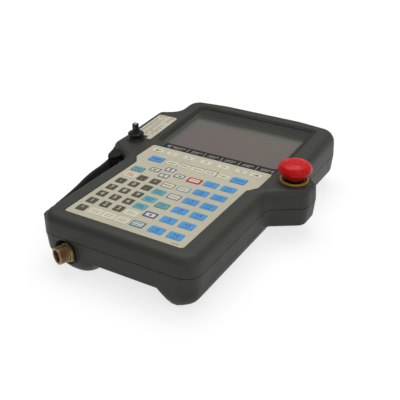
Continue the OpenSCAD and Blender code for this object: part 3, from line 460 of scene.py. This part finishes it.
class Prints:
    """Flat shapes of printed ink, collected into one thin mesh."""

    def __init__(self, to=P, z=0.0, t=0.04):
        self.v, self.f, self.to, self.z, self.t = [], [], to, z, t

    def loop(self, pts):
        n = len(pts)
        b = len(self.v)
        for x, y in pts:
            self.v.append(self.to(x, y, self.z))
        for x, y in pts:
            self.v.append(self.to(x, y, self.z + self.t))
        self.f.append(list(range(b + n, b + 2 * n)))
        for i in range(n):
            j = (i + 1) % n
            self.f.append([b + i, b + j, b + n + j, b + n + i])

    def rect(self, x, y, w, h, r=0.0, a=0.0):
        c, s = math.cos(a), math.sin(a)
        pts = rrect(w, h, r)
        self.loop([(x + c * u - s * v, y + s * u + c * v) for u, v in pts])

    def ring(self, x, y, w, h, t, r=1.0):
        """A frame of width t round a rounded rectangle."""
        o, i = rrect(w, h, r), rrect(w - 2 * t, h - 2 * t, max(0.2, r - t))
        n, b = len(o), len(self.v)
        for pts in (o, i):
            for u, v in pts:
                self.v.append(self.to(x + u, y + v, self.z + self.t))
        for k in range(n):
            j = (k + 1) % n
            self.f.append([b + k, b + j, b + n + j, b + n + k])

    def line(self, pts, w):
        for (x0, y0), (x1, y1) in zip(pts, pts[1:]):
            d = math.hypot(x1 - x0, y1 - y0)
            self.rect((x0 + x1) / 2, (y0 + y1) / 2, d + w, w, a=math.atan2(y1 - y0, x1 - x0))

    def tri(self, x, y, s, a):
        turns = [a + k * THIRD for k in range(3)]
        self.loop([(x + s * math.cos(t), y + s * math.sin(t)) for t in turns])

    def bars(self, x, y, w, rows=1, pitch=1.6, t=0.7):
        """Rows of short bars of random length that stand for lettering."""
        for k in range(rows):
            yy = y + (rows - 1) * pitch / 2 - k * pitch
            u = x - w / 2
            while u < x + w / 2 - SHORTEST:
                seg = min(random.choice(WORDS), x + w / 2 - u)
                self.rect(u + seg / 2, yy, seg, t)
                u += seg + WORD_GAP

    def text(self, s, x, y, size):
        cu = bpy.data.curves.new("tmp", "FONT")
        cu.body, cu.size, cu.align_x, cu.align_y = s, size, "CENTER", "CENTER"
        cu.resolution_u = 3
        ob = bpy.data.objects.new("tmp", cu)
        bpy.context.scene.collection.objects.link(ob)
        bpy.context.view_layer.update()
        me = bpy.data.meshes.new_from_object(ob)
        b = len(self.v)
        for v in me.vertices:
            self.v.append(self.to(x + v.co.x, y + v.co.y, self.z + self.t))
        for p in me.polygons:
            self.f.append([b + i for i in p.vertices])
        bpy.data.objects.remove(ob)
        bpy.data.curves.remove(cu)
        bpy.data.meshes.remove(me)

    def done(self, name, mat, body="housing"):
        return new_piece(name, self.v, self.f, mat, body)


def rrect(w, h, r=0.0, n=3):
    """A rounded rectangle round the origin."""
    if r <= 0:
        return [(w / 2, -h / 2), (w / 2, h / 2), (-w / 2, h / 2), (-w / 2, -h / 2)]
    pts = []
    for cx, cy, a0 in ((1, -1, -90), (1, 1, 0), (-1, 1, 90), (-1, -1, 180)):
        for k in range(n + 1):
            a = math.radians(a0 + 90 * k / n)
            pts.append((cx * (w / 2 - r) + r * math.cos(a), cy * (h / 2 - r) + r * math.sin(a)))
    return pts


def skin(rows, n, closed=False):
    """Faces that join rows of n points; closed joins the last row to the first."""
    faces = []
    for i in range(rows if closed else rows - 1):
        u = (i + 1) % rows
        for k in range(n):
            j = (k + 1) % n
            faces.append([i * n + k, i * n + j, u * n + j, u * n + k])
    return faces


def join(verts, faces, more_verts, more_faces):
    """Adds a second mesh to the first."""
    faces += [[i + len(verts) for i in q] for q in more_faces]
    verts += more_verts


def lathe(profile, n, to):
    """Faces of a turned form; profile is [(r, z)] and to maps (x, y, z) in mm."""
    verts, faces, rows = [], [], []
    for r, z in profile:
        if r < 1e-6:
            rows.append([len(verts)])
            verts.append(to(0, 0, z))
        else:
            rows.append(list(range(len(verts), len(verts) + n)))
            for k in range(n):
                a = 2 * math.pi * k / n
                verts.append(to(r * math.cos(a), r * math.sin(a), z))
    for a, b in zip(rows, rows[1:]):
        if len(a) == 1 and len(b) == 1:
            continue
        for k in range(n):
            j = (k + 1) % n
            if len(a) == 1:
                faces.append([a[0], b[k], b[j]])
            elif len(b) == 1:
                faces.append([a[k], a[j], b[0]])
            else:
                faces.append([a[k], a[j], b[j], b[k]])
    return verts, faces


# ------------------------------------------------------------------ key legends
KEY = 0.4  # height of the embossed keys
JOG_X, JOG_Y, JOG_P = (27.8, 46.5), 13.1, 18.7
NUM_X, NUM_Y, NUM_P = -51, 26.8, 14.8
FN_X, FN_Y, FN_P = -39.5, 145, 19.85
PAGE_X = (-56.7, 56)
MENU_X, MENU_Y = (-28.5, -15, 0.6, 15.6, 30), 127
SHIFT_X = (-46.9, 46.8)
PLAIN_PADS = [(-36.2, 12), (-21.5, 12), (-7, 25.5), (-7, 12)]
PAD_W, PAD_H = 13, 9
DARK_PADS = [(-50.4, 98.9), (9.6, 50.1), (8.6, 13.1)]
CYAN_PADS = [(-7, 69.8), (-7, 54.4), (-7, 39.6)]
CURSORS = [(-21.6, 113.4, 90), (-35, 106.4, 180), (-7, 106.4, 0), (-20.6, 99.6, -90)]
HOLD_X, HOLD_Y = 10.2, 105.6
SPEED_X, SPEED_Y = 9.4, 31.3

dark = Prints(z=KEY)
white = Prints(z=KEY)
blue = Prints(z=KEY)
red = Prints(z=KEY)
cyan = Prints(z=KEY)
orange = Prints(z=KEY)
hold = Prints(z=KEY, t=0.03)
sheet_dark = Prints(z=0.0)
sheet_blue = Prints(z=0.0)

# function keys: plain numbers; page keys: arrows
for k in range(5):
    dark.text("F%d" % (k + 1), FN_X + k * FN_P, FN_Y, 4.6)
for x, a in zip(PAGE_X, (math.pi, 0)):
    dark.tri(x + 1.5 * math.cos(a), FN_Y, 2.2, a)
    dark.rect(x - 1.6 * math.cos(a), FN_Y, 3.6, 1.0)
for x in MENU_X:
    dark.bars(x, MENU_Y, 8.5, 1, t=1.3)
sheet_dark.line([(-21, 122.4), (-21.6, 132.4), (22, 132.4), (22.6, 122.4)], 0.5)
# blue shift keys
for x in SHIFT_X:
    blue.bars(x, MENU_Y, 9.5, 1, t=1.7)
    sheet_blue.ring(x, MENU_Y, 16.0, 11.5, 0.55, 1.6)
# cursor keys with their outlines
for x, y, a in CURSORS:
    blue.ring(x, y, 11, 7.5, 1.1, 1.0)
    t = math.radians(a)
    dark.tri(x + 0.9 * math.cos(t), y + 0.9 * math.sin(t), 1.9, t)
    dark.rect(x - 1.4 * math.cos(t), y - 1.4 * math.sin(t), 2.2, 0.9, a=t)
# the red-framed key
hold.rect(HOLD_X, HOLD_Y, 10.6, 5.8, 0.8)
red.bars(HOLD_X, HOLD_Y, 7.6, 1, t=1.3)
# jog keys: sign and axis number
for i, x in enumerate(JOG_X):
    for k in range(6):
        y = JOG_Y + k * JOG_P
        blue.text(("-", "+")[i] + str(6 - k), x, y + 0.9, 6.0)
        blue.bars(x, y - 3.0, 6.5, 1, t=0.7)
# number keys
rows = {0: "123", 1: "456", 2: "789"}
for k in range(4):
    y = NUM_Y + k * NUM_P
    for i in range(3):
        s = rows[k][i] if k in rows else "-0."[i]
        white.text(s, NUM_X + i * NUM_P, y, 7.6)
for i in range(2):
    white.text(",="[i], NUM_X + (i + 1) * NUM_P, NUM_Y + 4 * NUM_P - 0.4, 6.0)
white.text("*", NUM_X, NUM_Y - NUM_P, 7.0)
# framed pads of the middle columns
for x, y in DARK_PADS:
    dark.ring(x, y, PAD_W, PAD_H, 0.6, 1.0)
for x, y in CYAN_PADS:
    cyan.ring(x, y, PAD_W, PAD_H, 0.9, 1.0)
for x, y in DARK_PADS[:1] + CYAN_PADS + DARK_PADS[1:]:
    blue.bars(x, y, 8.2, 2, pitch=2.9, t=1.3)
dark.ring(-6.3, 85, PAD_W, PAD_H, 0.7, 1.0)
dark.bars(-6.3, 85, 8.4, 1, t=1.6)
cyan.ring(10.2, 86, PAD_W, PAD_H, 1.2, 1.0)
red.bars(10.2, 86, 8.0, 1, t=1.4)
blue.ring(10.2, 69, PAD_W, PAD_H, 1.0, 1.0)
blue.bars(10.2, 69, 8.0, 1, t=1.2)
blue.ring(SPEED_X, SPEED_Y, PAD_W, PAD_H, 1.9, 1.0)
orange.rect(SPEED_X, SPEED_Y, 3.2, 3.2, 1.2)
dark.tri(SPEED_X, SPEED_Y, 1.3, math.pi / 2)
hold.rect(*DARK_PADS[2], 9.6, 5.8, 0.8)
red.bars(-50, 85.5, 9.0, 2, pitch=3.2, t=1.5)
for x, y in PLAIN_PADS:
    dark.bars(x, y, 8.0, 2, pitch=2.6, t=0.55)
sheet_dark.bars(52, 3.2, 7, 1, t=0.8)

dark.done("legends_dark", INK)
white.done("legends_white", INKW)
blue.done("legends_blue", INKB)
red.done("legends_red", INKR)
cyan.done("legends_cyan", INKC)
orange.done("legends_orange", INKO)
hold.done("hold_key_pad", INKW)
sheet_dark.done("sheet_lines_dark", INK)
sheet_blue.done("sheet_lines_blue", INKB)

# ------------------------------------------------------------------ status strip
low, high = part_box("status_strip")
SY = (low.y + high.y) / 2 * 1000 - OY * 1000  # middle of the strip, in the working frame
SZ = (high.z - OZ) * 1000
ticks = Prints(z=SZ)
for k in range(7):
    x = FN_X - FN_P / 2 + k * FN_P - (2 if k == 0 else 0)
    ticks.rect(min(max(x, -55), 67), SY, 0.7, 7.2)
for k in range(6):
    x = FN_X + (k - 0.02) * FN_P
    ticks.bars(x + 1, SY + 1.1, 12, 1, t=1.3)
    ticks.bars(x - 1, SY - 1.7, 9, 1, t=1.0)
STRIP_INK = film("strip_ink", lin(176, 178, 176), lin(130, 132, 130))
ticks.done("strip_marks", STRIP_INK)


def lamp(name, x, col, glow):
    """A small oval lamp lens on the strip, with a faint painted glow."""
    m = Mat(name, 0.25, coat=0.4)
    m.color(m.mix(m.noise(500, 2), col, scaled(col, 0.7)))
    # painted glow: the lens gives off a faint light of its own colour
    m.b.inputs["Emission Color"].default_value = col
    m.b.inputs["Emission Strength"].default_value = glow
    prof = [(1.35, 0.0), (1.35, 0.25), (1.15, 0.5), (0.7, 0.68), (0, 0.74)]
    oval = 1.6
    v, f = lathe(prof, 20, lambda a, b, z: P(x + a * oval, SY + b, SZ + z))
    new_piece(name, v, f, m.m, "housing", 50)


lamp("lamp_blue", -53, lin(70, 170, 215), 0.25)
lamp("lamp_orange", -46.5, lin(205, 104, 40), 0.2)

# ------------------------------------------------------------------ label plate
low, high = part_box("label_plate")
x0, x1 = (low.x - OX) * 1000, (high.x - OX) * 1000
y0 = (low.y - OY) * 1000
labels = Prints(to=H, z=0.6, t=0.03)
ROWS, FIRST_ROW, ROW_PITCH = 17, 9.4, 2.75
middle = (x0 + x1) / 2
for k in range(ROWS):
    yy = y0 + FIRST_ROW + k * ROW_PITCH
    for x, w in ((x0 + 5.0, 5.6), (middle - 0.4, 5.2), (x1 - 5.2, 6.0)):
        # the plate's lower right is nearly empty
        if random.random() < (0.35 if k < 3 and x > middle else 0.86):
            u = w * random.uniform(0.5, 1.0)
            labels.bars(x - (w - u) / 2, yy, u, 1, t=0.85)
labels.done("label_bars", INK)

# ------------------------------------------------------------------ stop button
low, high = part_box("estop_button")
middle = (low + high) / 2
skirt_z = low.z
RADIUS = (high.x - low.x) * 500
TOP = (high.z - low.z) * 1000
WIDEST = 6.4  # height of the widest ring above the skirt's edge
BULGE = 5.2  # how far the rounded rim reaches in from the widest ring


def B(x, y, z):
    """A point of the button, in mm from its axis and its skirt's edge."""
    return Vector((middle.x + x / 1000, middle.y + y / 1000, skirt_z + z / 1000))


prof = [(9.8, 5.3), (9.8, 0.15), (10.0, 0.0), (11.2, 0.0), (11.5, 0.3), (11.6, 0.9)]
prof += [(12.2, 1.25), (13.0, 1.9), (13.7, 2.8), (14.4, 3.8), (15.0, 4.6)]
for a in range(-35, 81, 8):
    t = math.radians(a)
    tall = TOP - WIDEST - 1.2 if a > 0 else 2.6
    prof.append((RADIUS - BULGE + BULGE * math.cos(t), WIDEST + tall * math.sin(t)))
prof += [(RADIUS * 0.58, TOP - 0.55), (RADIUS * 0.46, TOP - 0.3), (RADIUS * 0.3, TOP - 0.1)]
prof += [(RADIUS * 0.15, TOP - 0.02), (0, TOP)]
v, f = lathe(prof, 96, B)
red_cap = new_piece("stop_button_cap", v, f, NODE_MATS["estop_button"], "stop_head", 40)
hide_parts("estop_button")


def cap_z(r):
    """Height of the cap's upper side at radius r."""
    for (r0, z0), (r1, z1) in zip(prof, prof[1:]):
        if z0 > 6 and (r0 - r) * (r1 - r) <= 0 and r0 != r1:
            return z0 + (z1 - z0) * (r - r0) / (r1 - r0)
    return TOP


def cap_arrow(a0):
    """A curved arrow that lies slightly proud of the cap and starts at angle a0."""
    vs = []
    n, tip = 14, 4  # steps in all, and in the arrow's head
    sweep, radius = 62, 8.6
    for k in range(n + 1):
        a = math.radians(a0 + sweep * k / n)
        w = 0.75 if k < n - tip else 2.0 * (n - k) / tip
        for rr in (radius - w, radius + w):
            vs.append(B(rr * math.cos(a), rr * math.sin(a), cap_z(rr) + 0.12))
    return vs, [[2 * k, 2 * k + 1, 2 * k + 3, 2 * k + 2] for k in range(n)]


verts, faces = [], []
for a0 in (20, 140, 260):
    join(verts, faces, *cap_arrow(a0))
m = Mat("stop_arrow_ink", 0.35, spec=0.4)
m.color(m.mix(m.noise(300, 3), lin(206, 40, 48), lin(224, 78, 80)))
m.bump(m.noise(600, 2), 0.1, 0.00005)
new_piece("stop_turn_arrows", verts, faces, m.m, "stop_head", 60)

# ------------------------------------------------------------------ power knob mark
low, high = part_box("power_knob")
knob_x, knob_y = (low.x + high.x) / 2, (low.y + high.y) / 2


def K(x, y, z):
    """A point over the knob's top, in mm from its axis."""
    return Vector((knob_x + x / 1000, knob_y + y / 1000, high.z + z / 1000))


pointer = Prints(to=K, z=0.0, t=0.03)
pointer.rect(0, 0, 1.6, 4.2, 0.5)
pointer.rect(1.7, 0, 0.5, 3.6, 0.2)
POINTER_INK = film("pointer_ink", lin(206, 206, 202), lin(160, 160, 156))
pointer.done("power_pointer", POINTER_INK, "power_knob")

# ------------------------------------------------------------------ connector
seat = P(-48.9, -11.7, -32.6)
TURN = math.radians(22)
axis = Vector((-math.sin(TURN), -math.cos(TURN), 0))
across = Vector((math.cos(TURN), -math.sin(TURN), 0))


def C(x, y, z):
    """A point of the connector, z along its axis from its seat."""
    return seat + across * (x / 1000) + Vector((0, 0, 1)) * (y / 1000) + axis * (z / 1000)


SOCKET_R, CREST_R, ROOT_R = 5.8, 7.98, 7.45
THREAD_FROM, THREAD_TO, THREAD_PITCH = 5.7, 11.9, 1.05
prof = [(SOCKET_R, -10.0), (7.0, -10.0), (7.0, 4.2), (7.8, 4.2), (8.0, 4.4), (8.0, 5.4)]
z = THREAD_FROM
while z < THREAD_TO:
    prof += [(CREST_R, z), (ROOT_R, z + 0.3), (ROOT_R, z + 0.5), (CREST_R, z + 0.8)]
    z += THREAD_PITCH
prof += [(8.0, 12.4), (8.0, 13.1), (7.7, 13.5), (6.2, 13.5), (SOCKET_R, 13.2), (SOCKET_R, -10.0)]
v, f = lathe(prof, 72, C)
barrel = new_piece("connector_barrel", v, f, BRASS, "housing", 28)
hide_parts("connector_shell")
# keys along the wall of the mouth
verts, faces = [], []
for a in (90, 210, 330):
    t = math.radians(a)
    out, side = (math.cos(t), math.sin(t)), (-math.sin(t), math.cos(t))
    bar = []
    for zz in (6.0, 12.9):
        for u, w in ((5.0, -0.7), (5.0, 0.7), (5.85, 0.7), (5.85, -0.7)):
            bar.append(C(out[0] * u + side[0] * w, out[1] * u + side[1] * w, zz))
    join(verts, faces, bar, [[0, 1, 2, 3], [4, 5, 6, 7]] + skin(2, 4))
new_piece("connector_keys", verts, faces, BRASS, "housing", 30)
# hexagon nut with chamfered corners
AF = 17.5 / 2
BORE = 7.05
SIDE = math.pi / 3
verts, POINTS = [], 72
TURNS = [2 * math.pi * k / POINTS for k in range(POINTS)]
# each row is its height and the radius that cuts the corners off
for zz, limit in ((1.0, 9.1), (1.5, 11.0), (3.3, 11.0), (4.0, 9.0)):
    for a in TURNS:
        r = min(AF / math.cos((a + SIDE / 2) % SIDE - SIDE / 2), limit)
        verts.append(C(r * math.cos(a), r * math.sin(a), zz))
for zz in (4.0, 1.0):
    verts += [C(BORE * math.cos(a), BORE * math.sin(a), zz) for a in TURNS]
nut = new_piece("connector_hex", verts, skin(6, POINTS, True), BRASS, "housing", 30)
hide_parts("connector_nut")

# ------------------------------------------------------------------ hand strap
HALF_BODY, CORNER_R, END = 80.5, 16.0, 15.5  # the housing's left front corner
OFF_WALL = 0.3
PIN_R, OFF_PIN = 2.0, 0.05
T = 4.0  # thickness of the band
half = T / 2
ZT, ZB = -7.0, -29.0  # upper and lower edge of the band
low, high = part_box("strap_pin")
pin = (((low.x + high.x) / 2 - OX) * 1000, ((low.y + high.y) / 2 - OY) * 1000)
loop_r = PIN_R + OFF_PIN + T
mid_r = loop_r - half
run_x = pin[0] - loop_r + half
corner = (-(HALF_BODY - CORNER_R), CORNER_R - END)
bend_r = CORNER_R + OFF_WALL + half
wall_x = corner[0] - bend_r  # middle of the band where it lies on the side wall
# each pair is a share of the way in to the wall and of the pin's distance along the pendant
SHARES = [(0, 1), (0.12, 0.9), (0.26, 0.8), (0.36, 0.69), (0.48, 0.58),
          (0.68, 0.46), (0.84, 0.35), (0.96, 0.24), (1, 0.12)]
path = [(run_x + q * (wall_x - run_x), pin[1] * k) for q, k in SHARES]
path += [(wall_x, 4.0), (wall_x, -0.5)]
for a in (186, 194):
    t = math.radians(a)
    path.append((corner[0] + bend_r * math.cos(t), corner[1] + bend_r * math.sin(t)))


def between(p0, p1, p2, p3, t):
    """A smooth curve from p1 to p2 as t goes from 0 to 1."""
    square = 2 * p0 - 5 * p1 + 4 * p2 - p3
    cube = -p0 + 3 * p1 - 3 * p2 + p3
    return 0.5 * ((2 * p1) + (-p0 + p2) * t + square * t * t + cube * t ** 3)


def spline(pts, step=1.0):
    """Points about one step apart on a smooth curve through pts."""
    out = []
    n = len(pts)
    for i in range(n - 1):
        four = pts[max(i - 1, 0)], pts[i], pts[i + 1], pts[min(i + 2, n - 1)]
        count = max(2, int(math.dist(pts[i], pts[i + 1]) / step))
        for k in range(count):
            out.append(tuple(between(*[q[j] for q in four], k / count) for j in (0, 1)))
    out.append(pts[-1])
    return out


# loop round the pin, starting where the band meets itself
loop = []
for a in range(-120, 181, 12):
    t = math.radians(a)
    loop.append((pin[0] + mid_r * math.cos(t), pin[1] + mid_r * math.sin(t)))
mid = spline(loop[:-1] + path)
# section of the band: across its thickness, and its height, with rounded edges
ROUND, STEPS = 0.8, 10
UPRIGHT = ZT - ZB - 2 * ROUND
sect = [(-half + 0.5, ZB), (half - 0.5, ZB), (half - 0.1, ZB + 0.25), (half, ZB + ROUND)]
sect += [(half, ZB + ROUND + UPRIGHT * k / STEPS) for k in range(1, STEPS + 1)]
sect += [(half - 0.1, ZT - 0.25), (half - 0.5, ZT), (-half + 0.5, ZT), (-half + 0.1, ZT - 0.25)]
sect += [(-half, ZT - ROUND - UPRIGHT * k / STEPS) for k in range(STEPS + 1)]
sect += [(-half + 0.1, ZB + 0.25)]


def ease(t):
    """0 to 1 with soft ends."""
    t = min(1.0, max(0.0, t))
    return t * t * (3 - 2 * t)


def rise(y, i):
    """The band rides a little higher between its loop and its end."""
    return 1.6 * ease((pin[1] - 8 - y) / 30) * ease((y - 4) / 30) if i > len(loop) else 0.0


def share_left(y):
    """Share of its thickness that the band keeps: it thins towards its end."""
    return 1 - 0.4 * ease((16 - y) / 8)


def normal(a, b):
    """Unit vector across the way from a to b."""
    d = math.hypot(b[0] - a[0], b[1] - a[1]) or 1
    return -(b[1] - a[1]) / d, (b[0] - a[0]) / d


SOFT = 2.2  # height over which the band's edges get thinner
verts = []
for i, (x, y) in enumerate(mid):
    nx, ny = normal(mid[max(i - 1, 0)], mid[min(i + 1, len(mid) - 1)])
    thick = share_left(y) if i > len(loop) else 1
    for o, zz in sect:
        edge = 1.0 - 0.12 * (1 - min(1, (ZT - zz) / SOFT)) - 0.12 * (1 - min(1, (zz - ZB) / SOFT))
        u = half - (half - o * edge) * thick
        verts.append(P(x + nx * u, y + ny * u, zz + rise(y, i)))
n = len(sect)
faces = skin(len(mid), n)
faces += [list(range(n)), [(len(mid) - 1) * n + k for k in range(n)]]
strap = new_piece("strap_band", verts, faces, FABRIC, "housing", 50)
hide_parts("hand_strap")

# plate and two screws that hold the strap's end to the side
end_x = wall_x + half - T * 0.6 - 0.1
PLATE_Y, PLATE_Z = 3.6, -17.6
PLATE_W, PLATE_H, PLATE_T = 8.6, 20.0, 1.0
verts = []
for px, grow in ((end_x, 0.0), (end_x - 0.7, 0.0), (end_x - PLATE_T, -0.35)):
    for y, z in rrect(PLATE_W + 2 * grow, PLATE_H + 2 * grow, 1.6 + grow, 4):
        verts.append(P(px, PLATE_Y + y, PLATE_Z + z))
n = len(verts) // 3
faces = skin(3, n) + [list(range(n)), list(range(2 * n, 3 * n))]
plate = new_piece("strap_end_plate", verts, faces, STRAPS, "housing", 35)
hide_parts("strap_clamp")
# dished heads, as radius and height
HEAD = [(0, 0.75), (0.6, 0.75), (0.75, 1.1), (1.5, 1.0), (2.0, 0.7), (2.2, 0.2), (2.2, 0.0), (0, 0)]
verts, faces = [], []
for zc in (-11.0, -24.2):
    head = lathe(HEAD, 20, lambda a, b, h: P(end_x - PLATE_T - h, PLATE_Y + a, zc + b))
    join(verts, faces, *head)
heads = new_piece("strap_end_screws", verts, faces, STRAPS, "housing", 35)
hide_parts("strap_screws")


def thread_mesh(segs, r=0.22):
    """Short threads with tapered ends, one for each pair of points."""
    v, f = [], []
    for a, b in segs:
        d = b - a
        u = d.normalized().orthogonal().normalized()
        w = d.normalized().cross(u)
        one = []
        for t, rr in ((0.0, 0.35), (0.2, 1.0), (0.8, 1.0), (1.0, 0.35)):
            for k in range(6):
                an = k * math.pi / 3
                one.append(a + d * t + (u * math.cos(an) + w * math.sin(an)) * (r * rr / 1000))
        join(v, f, one, skin(4, 6) + [list(range(6)), list(range(18, 24))])
    return v, f


# stitching along both edges of the band, on both of its faces
INSET, PROUD = 2.6, 0.02
segs = []
start = len(spline(loop[:-1] + [path[0]]))
seq = mid[start:]
for i in range(1, len(seq) - 2):
    (x0, y0), (x1, y1) = seq[i - 1], seq[i]
    if i % 3 == 2:
        continue
    nx, ny = normal(seq[i - 1], seq[i])
    thin = T * share_left(y0)
    up = rise(y0, start + i)
    for o in (half + PROUD, half - thin - PROUD):
        for zz in (ZT - INSET + up, ZB + INSET + up):
            segs.append((P(x0 + nx * o, y0 + ny * o, zz), P(x1 + nx * o, y1 + ny * o, zz)))
v, f = thread_mesh(segs)
m = Mat("strap_thread", 0.7, spec=0.3)
m.color(m.mix(m.noise(900, 2), lin(20, 20, 19), lin(40, 39, 36)))
m.bump(m.noise(1500, 2), 0.3, 0.00005)
new_piece("strap_stitching", v, f, m.m, "housing", 60)

# ------------------------------------------------------------------ stage, camera, light
def ray_mask(tree, *rays):
    """1 for the named kinds of ray and 0 for all others."""
    path = tree.nodes.new("ShaderNodeLightPath")
    mask = path.outputs[rays[0]]
    for ray in rays[1:]:
        either = tree.nodes.new("ShaderNodeMath")
        either.operation = "MAXIMUM"
        tree.links.new(mask, either.inputs[0])
        tree.links.new(path.outputs[ray], either.inputs[1])
        mask = either.outputs[0]
    return mask


def ramp(tree, value, span, low, high):
    """From low to high as value goes over the span."""
    node = tree.nodes.new("ShaderNodeMapRange")
    tree.links.new(value, node.inputs["Value"])
    node.inputs["From Min"].default_value, node.inputs["From Max"].default_value = span
    node.inputs["To Min"].default_value, node.inputs["To Max"].default_value = low, high
    return node


floor_mat = bpy.data.materials.new("floor")
floor_mat.use_nodes = True
tree = floor_mat.node_tree
tree.nodes.clear()
out = tree.nodes.new("ShaderNodeOutputMaterial")
add = tree.nodes.new("ShaderNodeAddShader")
diffuse = tree.nodes.new("ShaderNodeBsdfDiffuse")
diffuse.inputs["Color"].default_value = (0.36, 0.36, 0.36, 1)
emission = tree.nodes.new("ShaderNodeEmission")
emission.inputs["Color"].default_value = (1, 1, 1, 1)
# far from the object, where the lamps fade, the floor's own white takes over
place = tree.nodes.new("ShaderNodeTexCoord")
far = tree.nodes.new("ShaderNodeVectorMath")
far.operation = "LENGTH"
tree.links.new(place.outputs["Object"], far.inputs[0])
fade = ramp(tree, far.outputs["Value"], (0.3, 1.1), 0.74, 1.0)
glow = tree.nodes.new("ShaderNodeMath")
glow.operation = "MULTIPLY"
mask = ray_mask(tree, "Is Camera Ray", "Is Glossy Ray", "Is Transmission Ray")
tree.links.new(mask, glow.inputs[0])
tree.links.new(fade.outputs[0], glow.inputs[1])
tree.links.new(glow.outputs[0], emission.inputs["Strength"])
tree.links.new(diffuse.outputs[0], add.inputs[0])
tree.links.new(emission.outputs[0], add.inputs[1])
tree.links.new(add.outputs[0], out.inputs["Surface"])
bpy.ops.mesh.primitive_plane_add(size=12, location=(0, 0, -0.0002))
floor = bpy.context.object
floor.name = "floor"
floor.data.materials.append(floor_mat)

# the camera stands where the photo seems to have been taken from
cam_data = bpy.data.cameras.new("camera")
cam_data.lens = 63.0
cam_data.sensor_width = 36.0
cam_data.clip_start = 0.01
cam = bpy.data.objects.new("camera", cam_data)
bpy.context.scene.collection.objects.link(cam)
cam.location = P(312.2, -402.4, 313.4)
look = Vector((-0.438, 0.752, -0.492)).normalized()
cam.rotation_euler = look.to_track_quat("-Z", "Y").to_euler()
bpy.context.scene.camera = cam

# the background is white to the camera; what lights the object is dimmer on the left side
world = bpy.data.worlds.new("world")
world.use_nodes = True
sky = world.node_tree
background = sky.nodes["Background"]
place = sky.nodes.new("ShaderNodeTexCoord")
way = sky.nodes.new("ShaderNodeSeparateXYZ")
sky.links.new(place.outputs["Generated"], way.inputs[0])
ambient = ramp(sky, way.outputs[0], (-0.9, 0.9), 0.24, 0.56)
seen = ramp(sky, ray_mask(sky, "Is Camera Ray", "Is Transmission Ray"), (0, 1), 0.0, 1.0)
sky.links.new(ambient.outputs[0], seen.inputs["To Min"])
sky.links.new(seen.outputs[0], background.inputs["Strength"])
background.inputs["Color"].default_value = (1, 1, 1, 1)
bpy.context.scene.world = world


def area(name, loc, target, size, watts):
    """A soft rectangular lamp that faces its target."""
    d = bpy.data.lights.new(name, "AREA")
    d.shape = "RECTANGLE"
    d.size, d.size_y = size
    d.energy = watts
    o = bpy.data.objects.new(name, d)
    bpy.context.scene.collection.objects.link(o)
    o.location = loc
    o.rotation_euler = (Vector(target) - Vector(loc)).to_track_quat("-Z", "Y").to_euler()


area("top_light", (-0.25, 0.35, 1.3), (0, 0.02, 0), (1.2, 1.0), 9.0)
area("side_light", (1.1, -0.9, 0.9), (0, 0, 0), (0.7, 0.7), 2.2)

bpy.context.scene.view_settings.view_transform = "Standard"
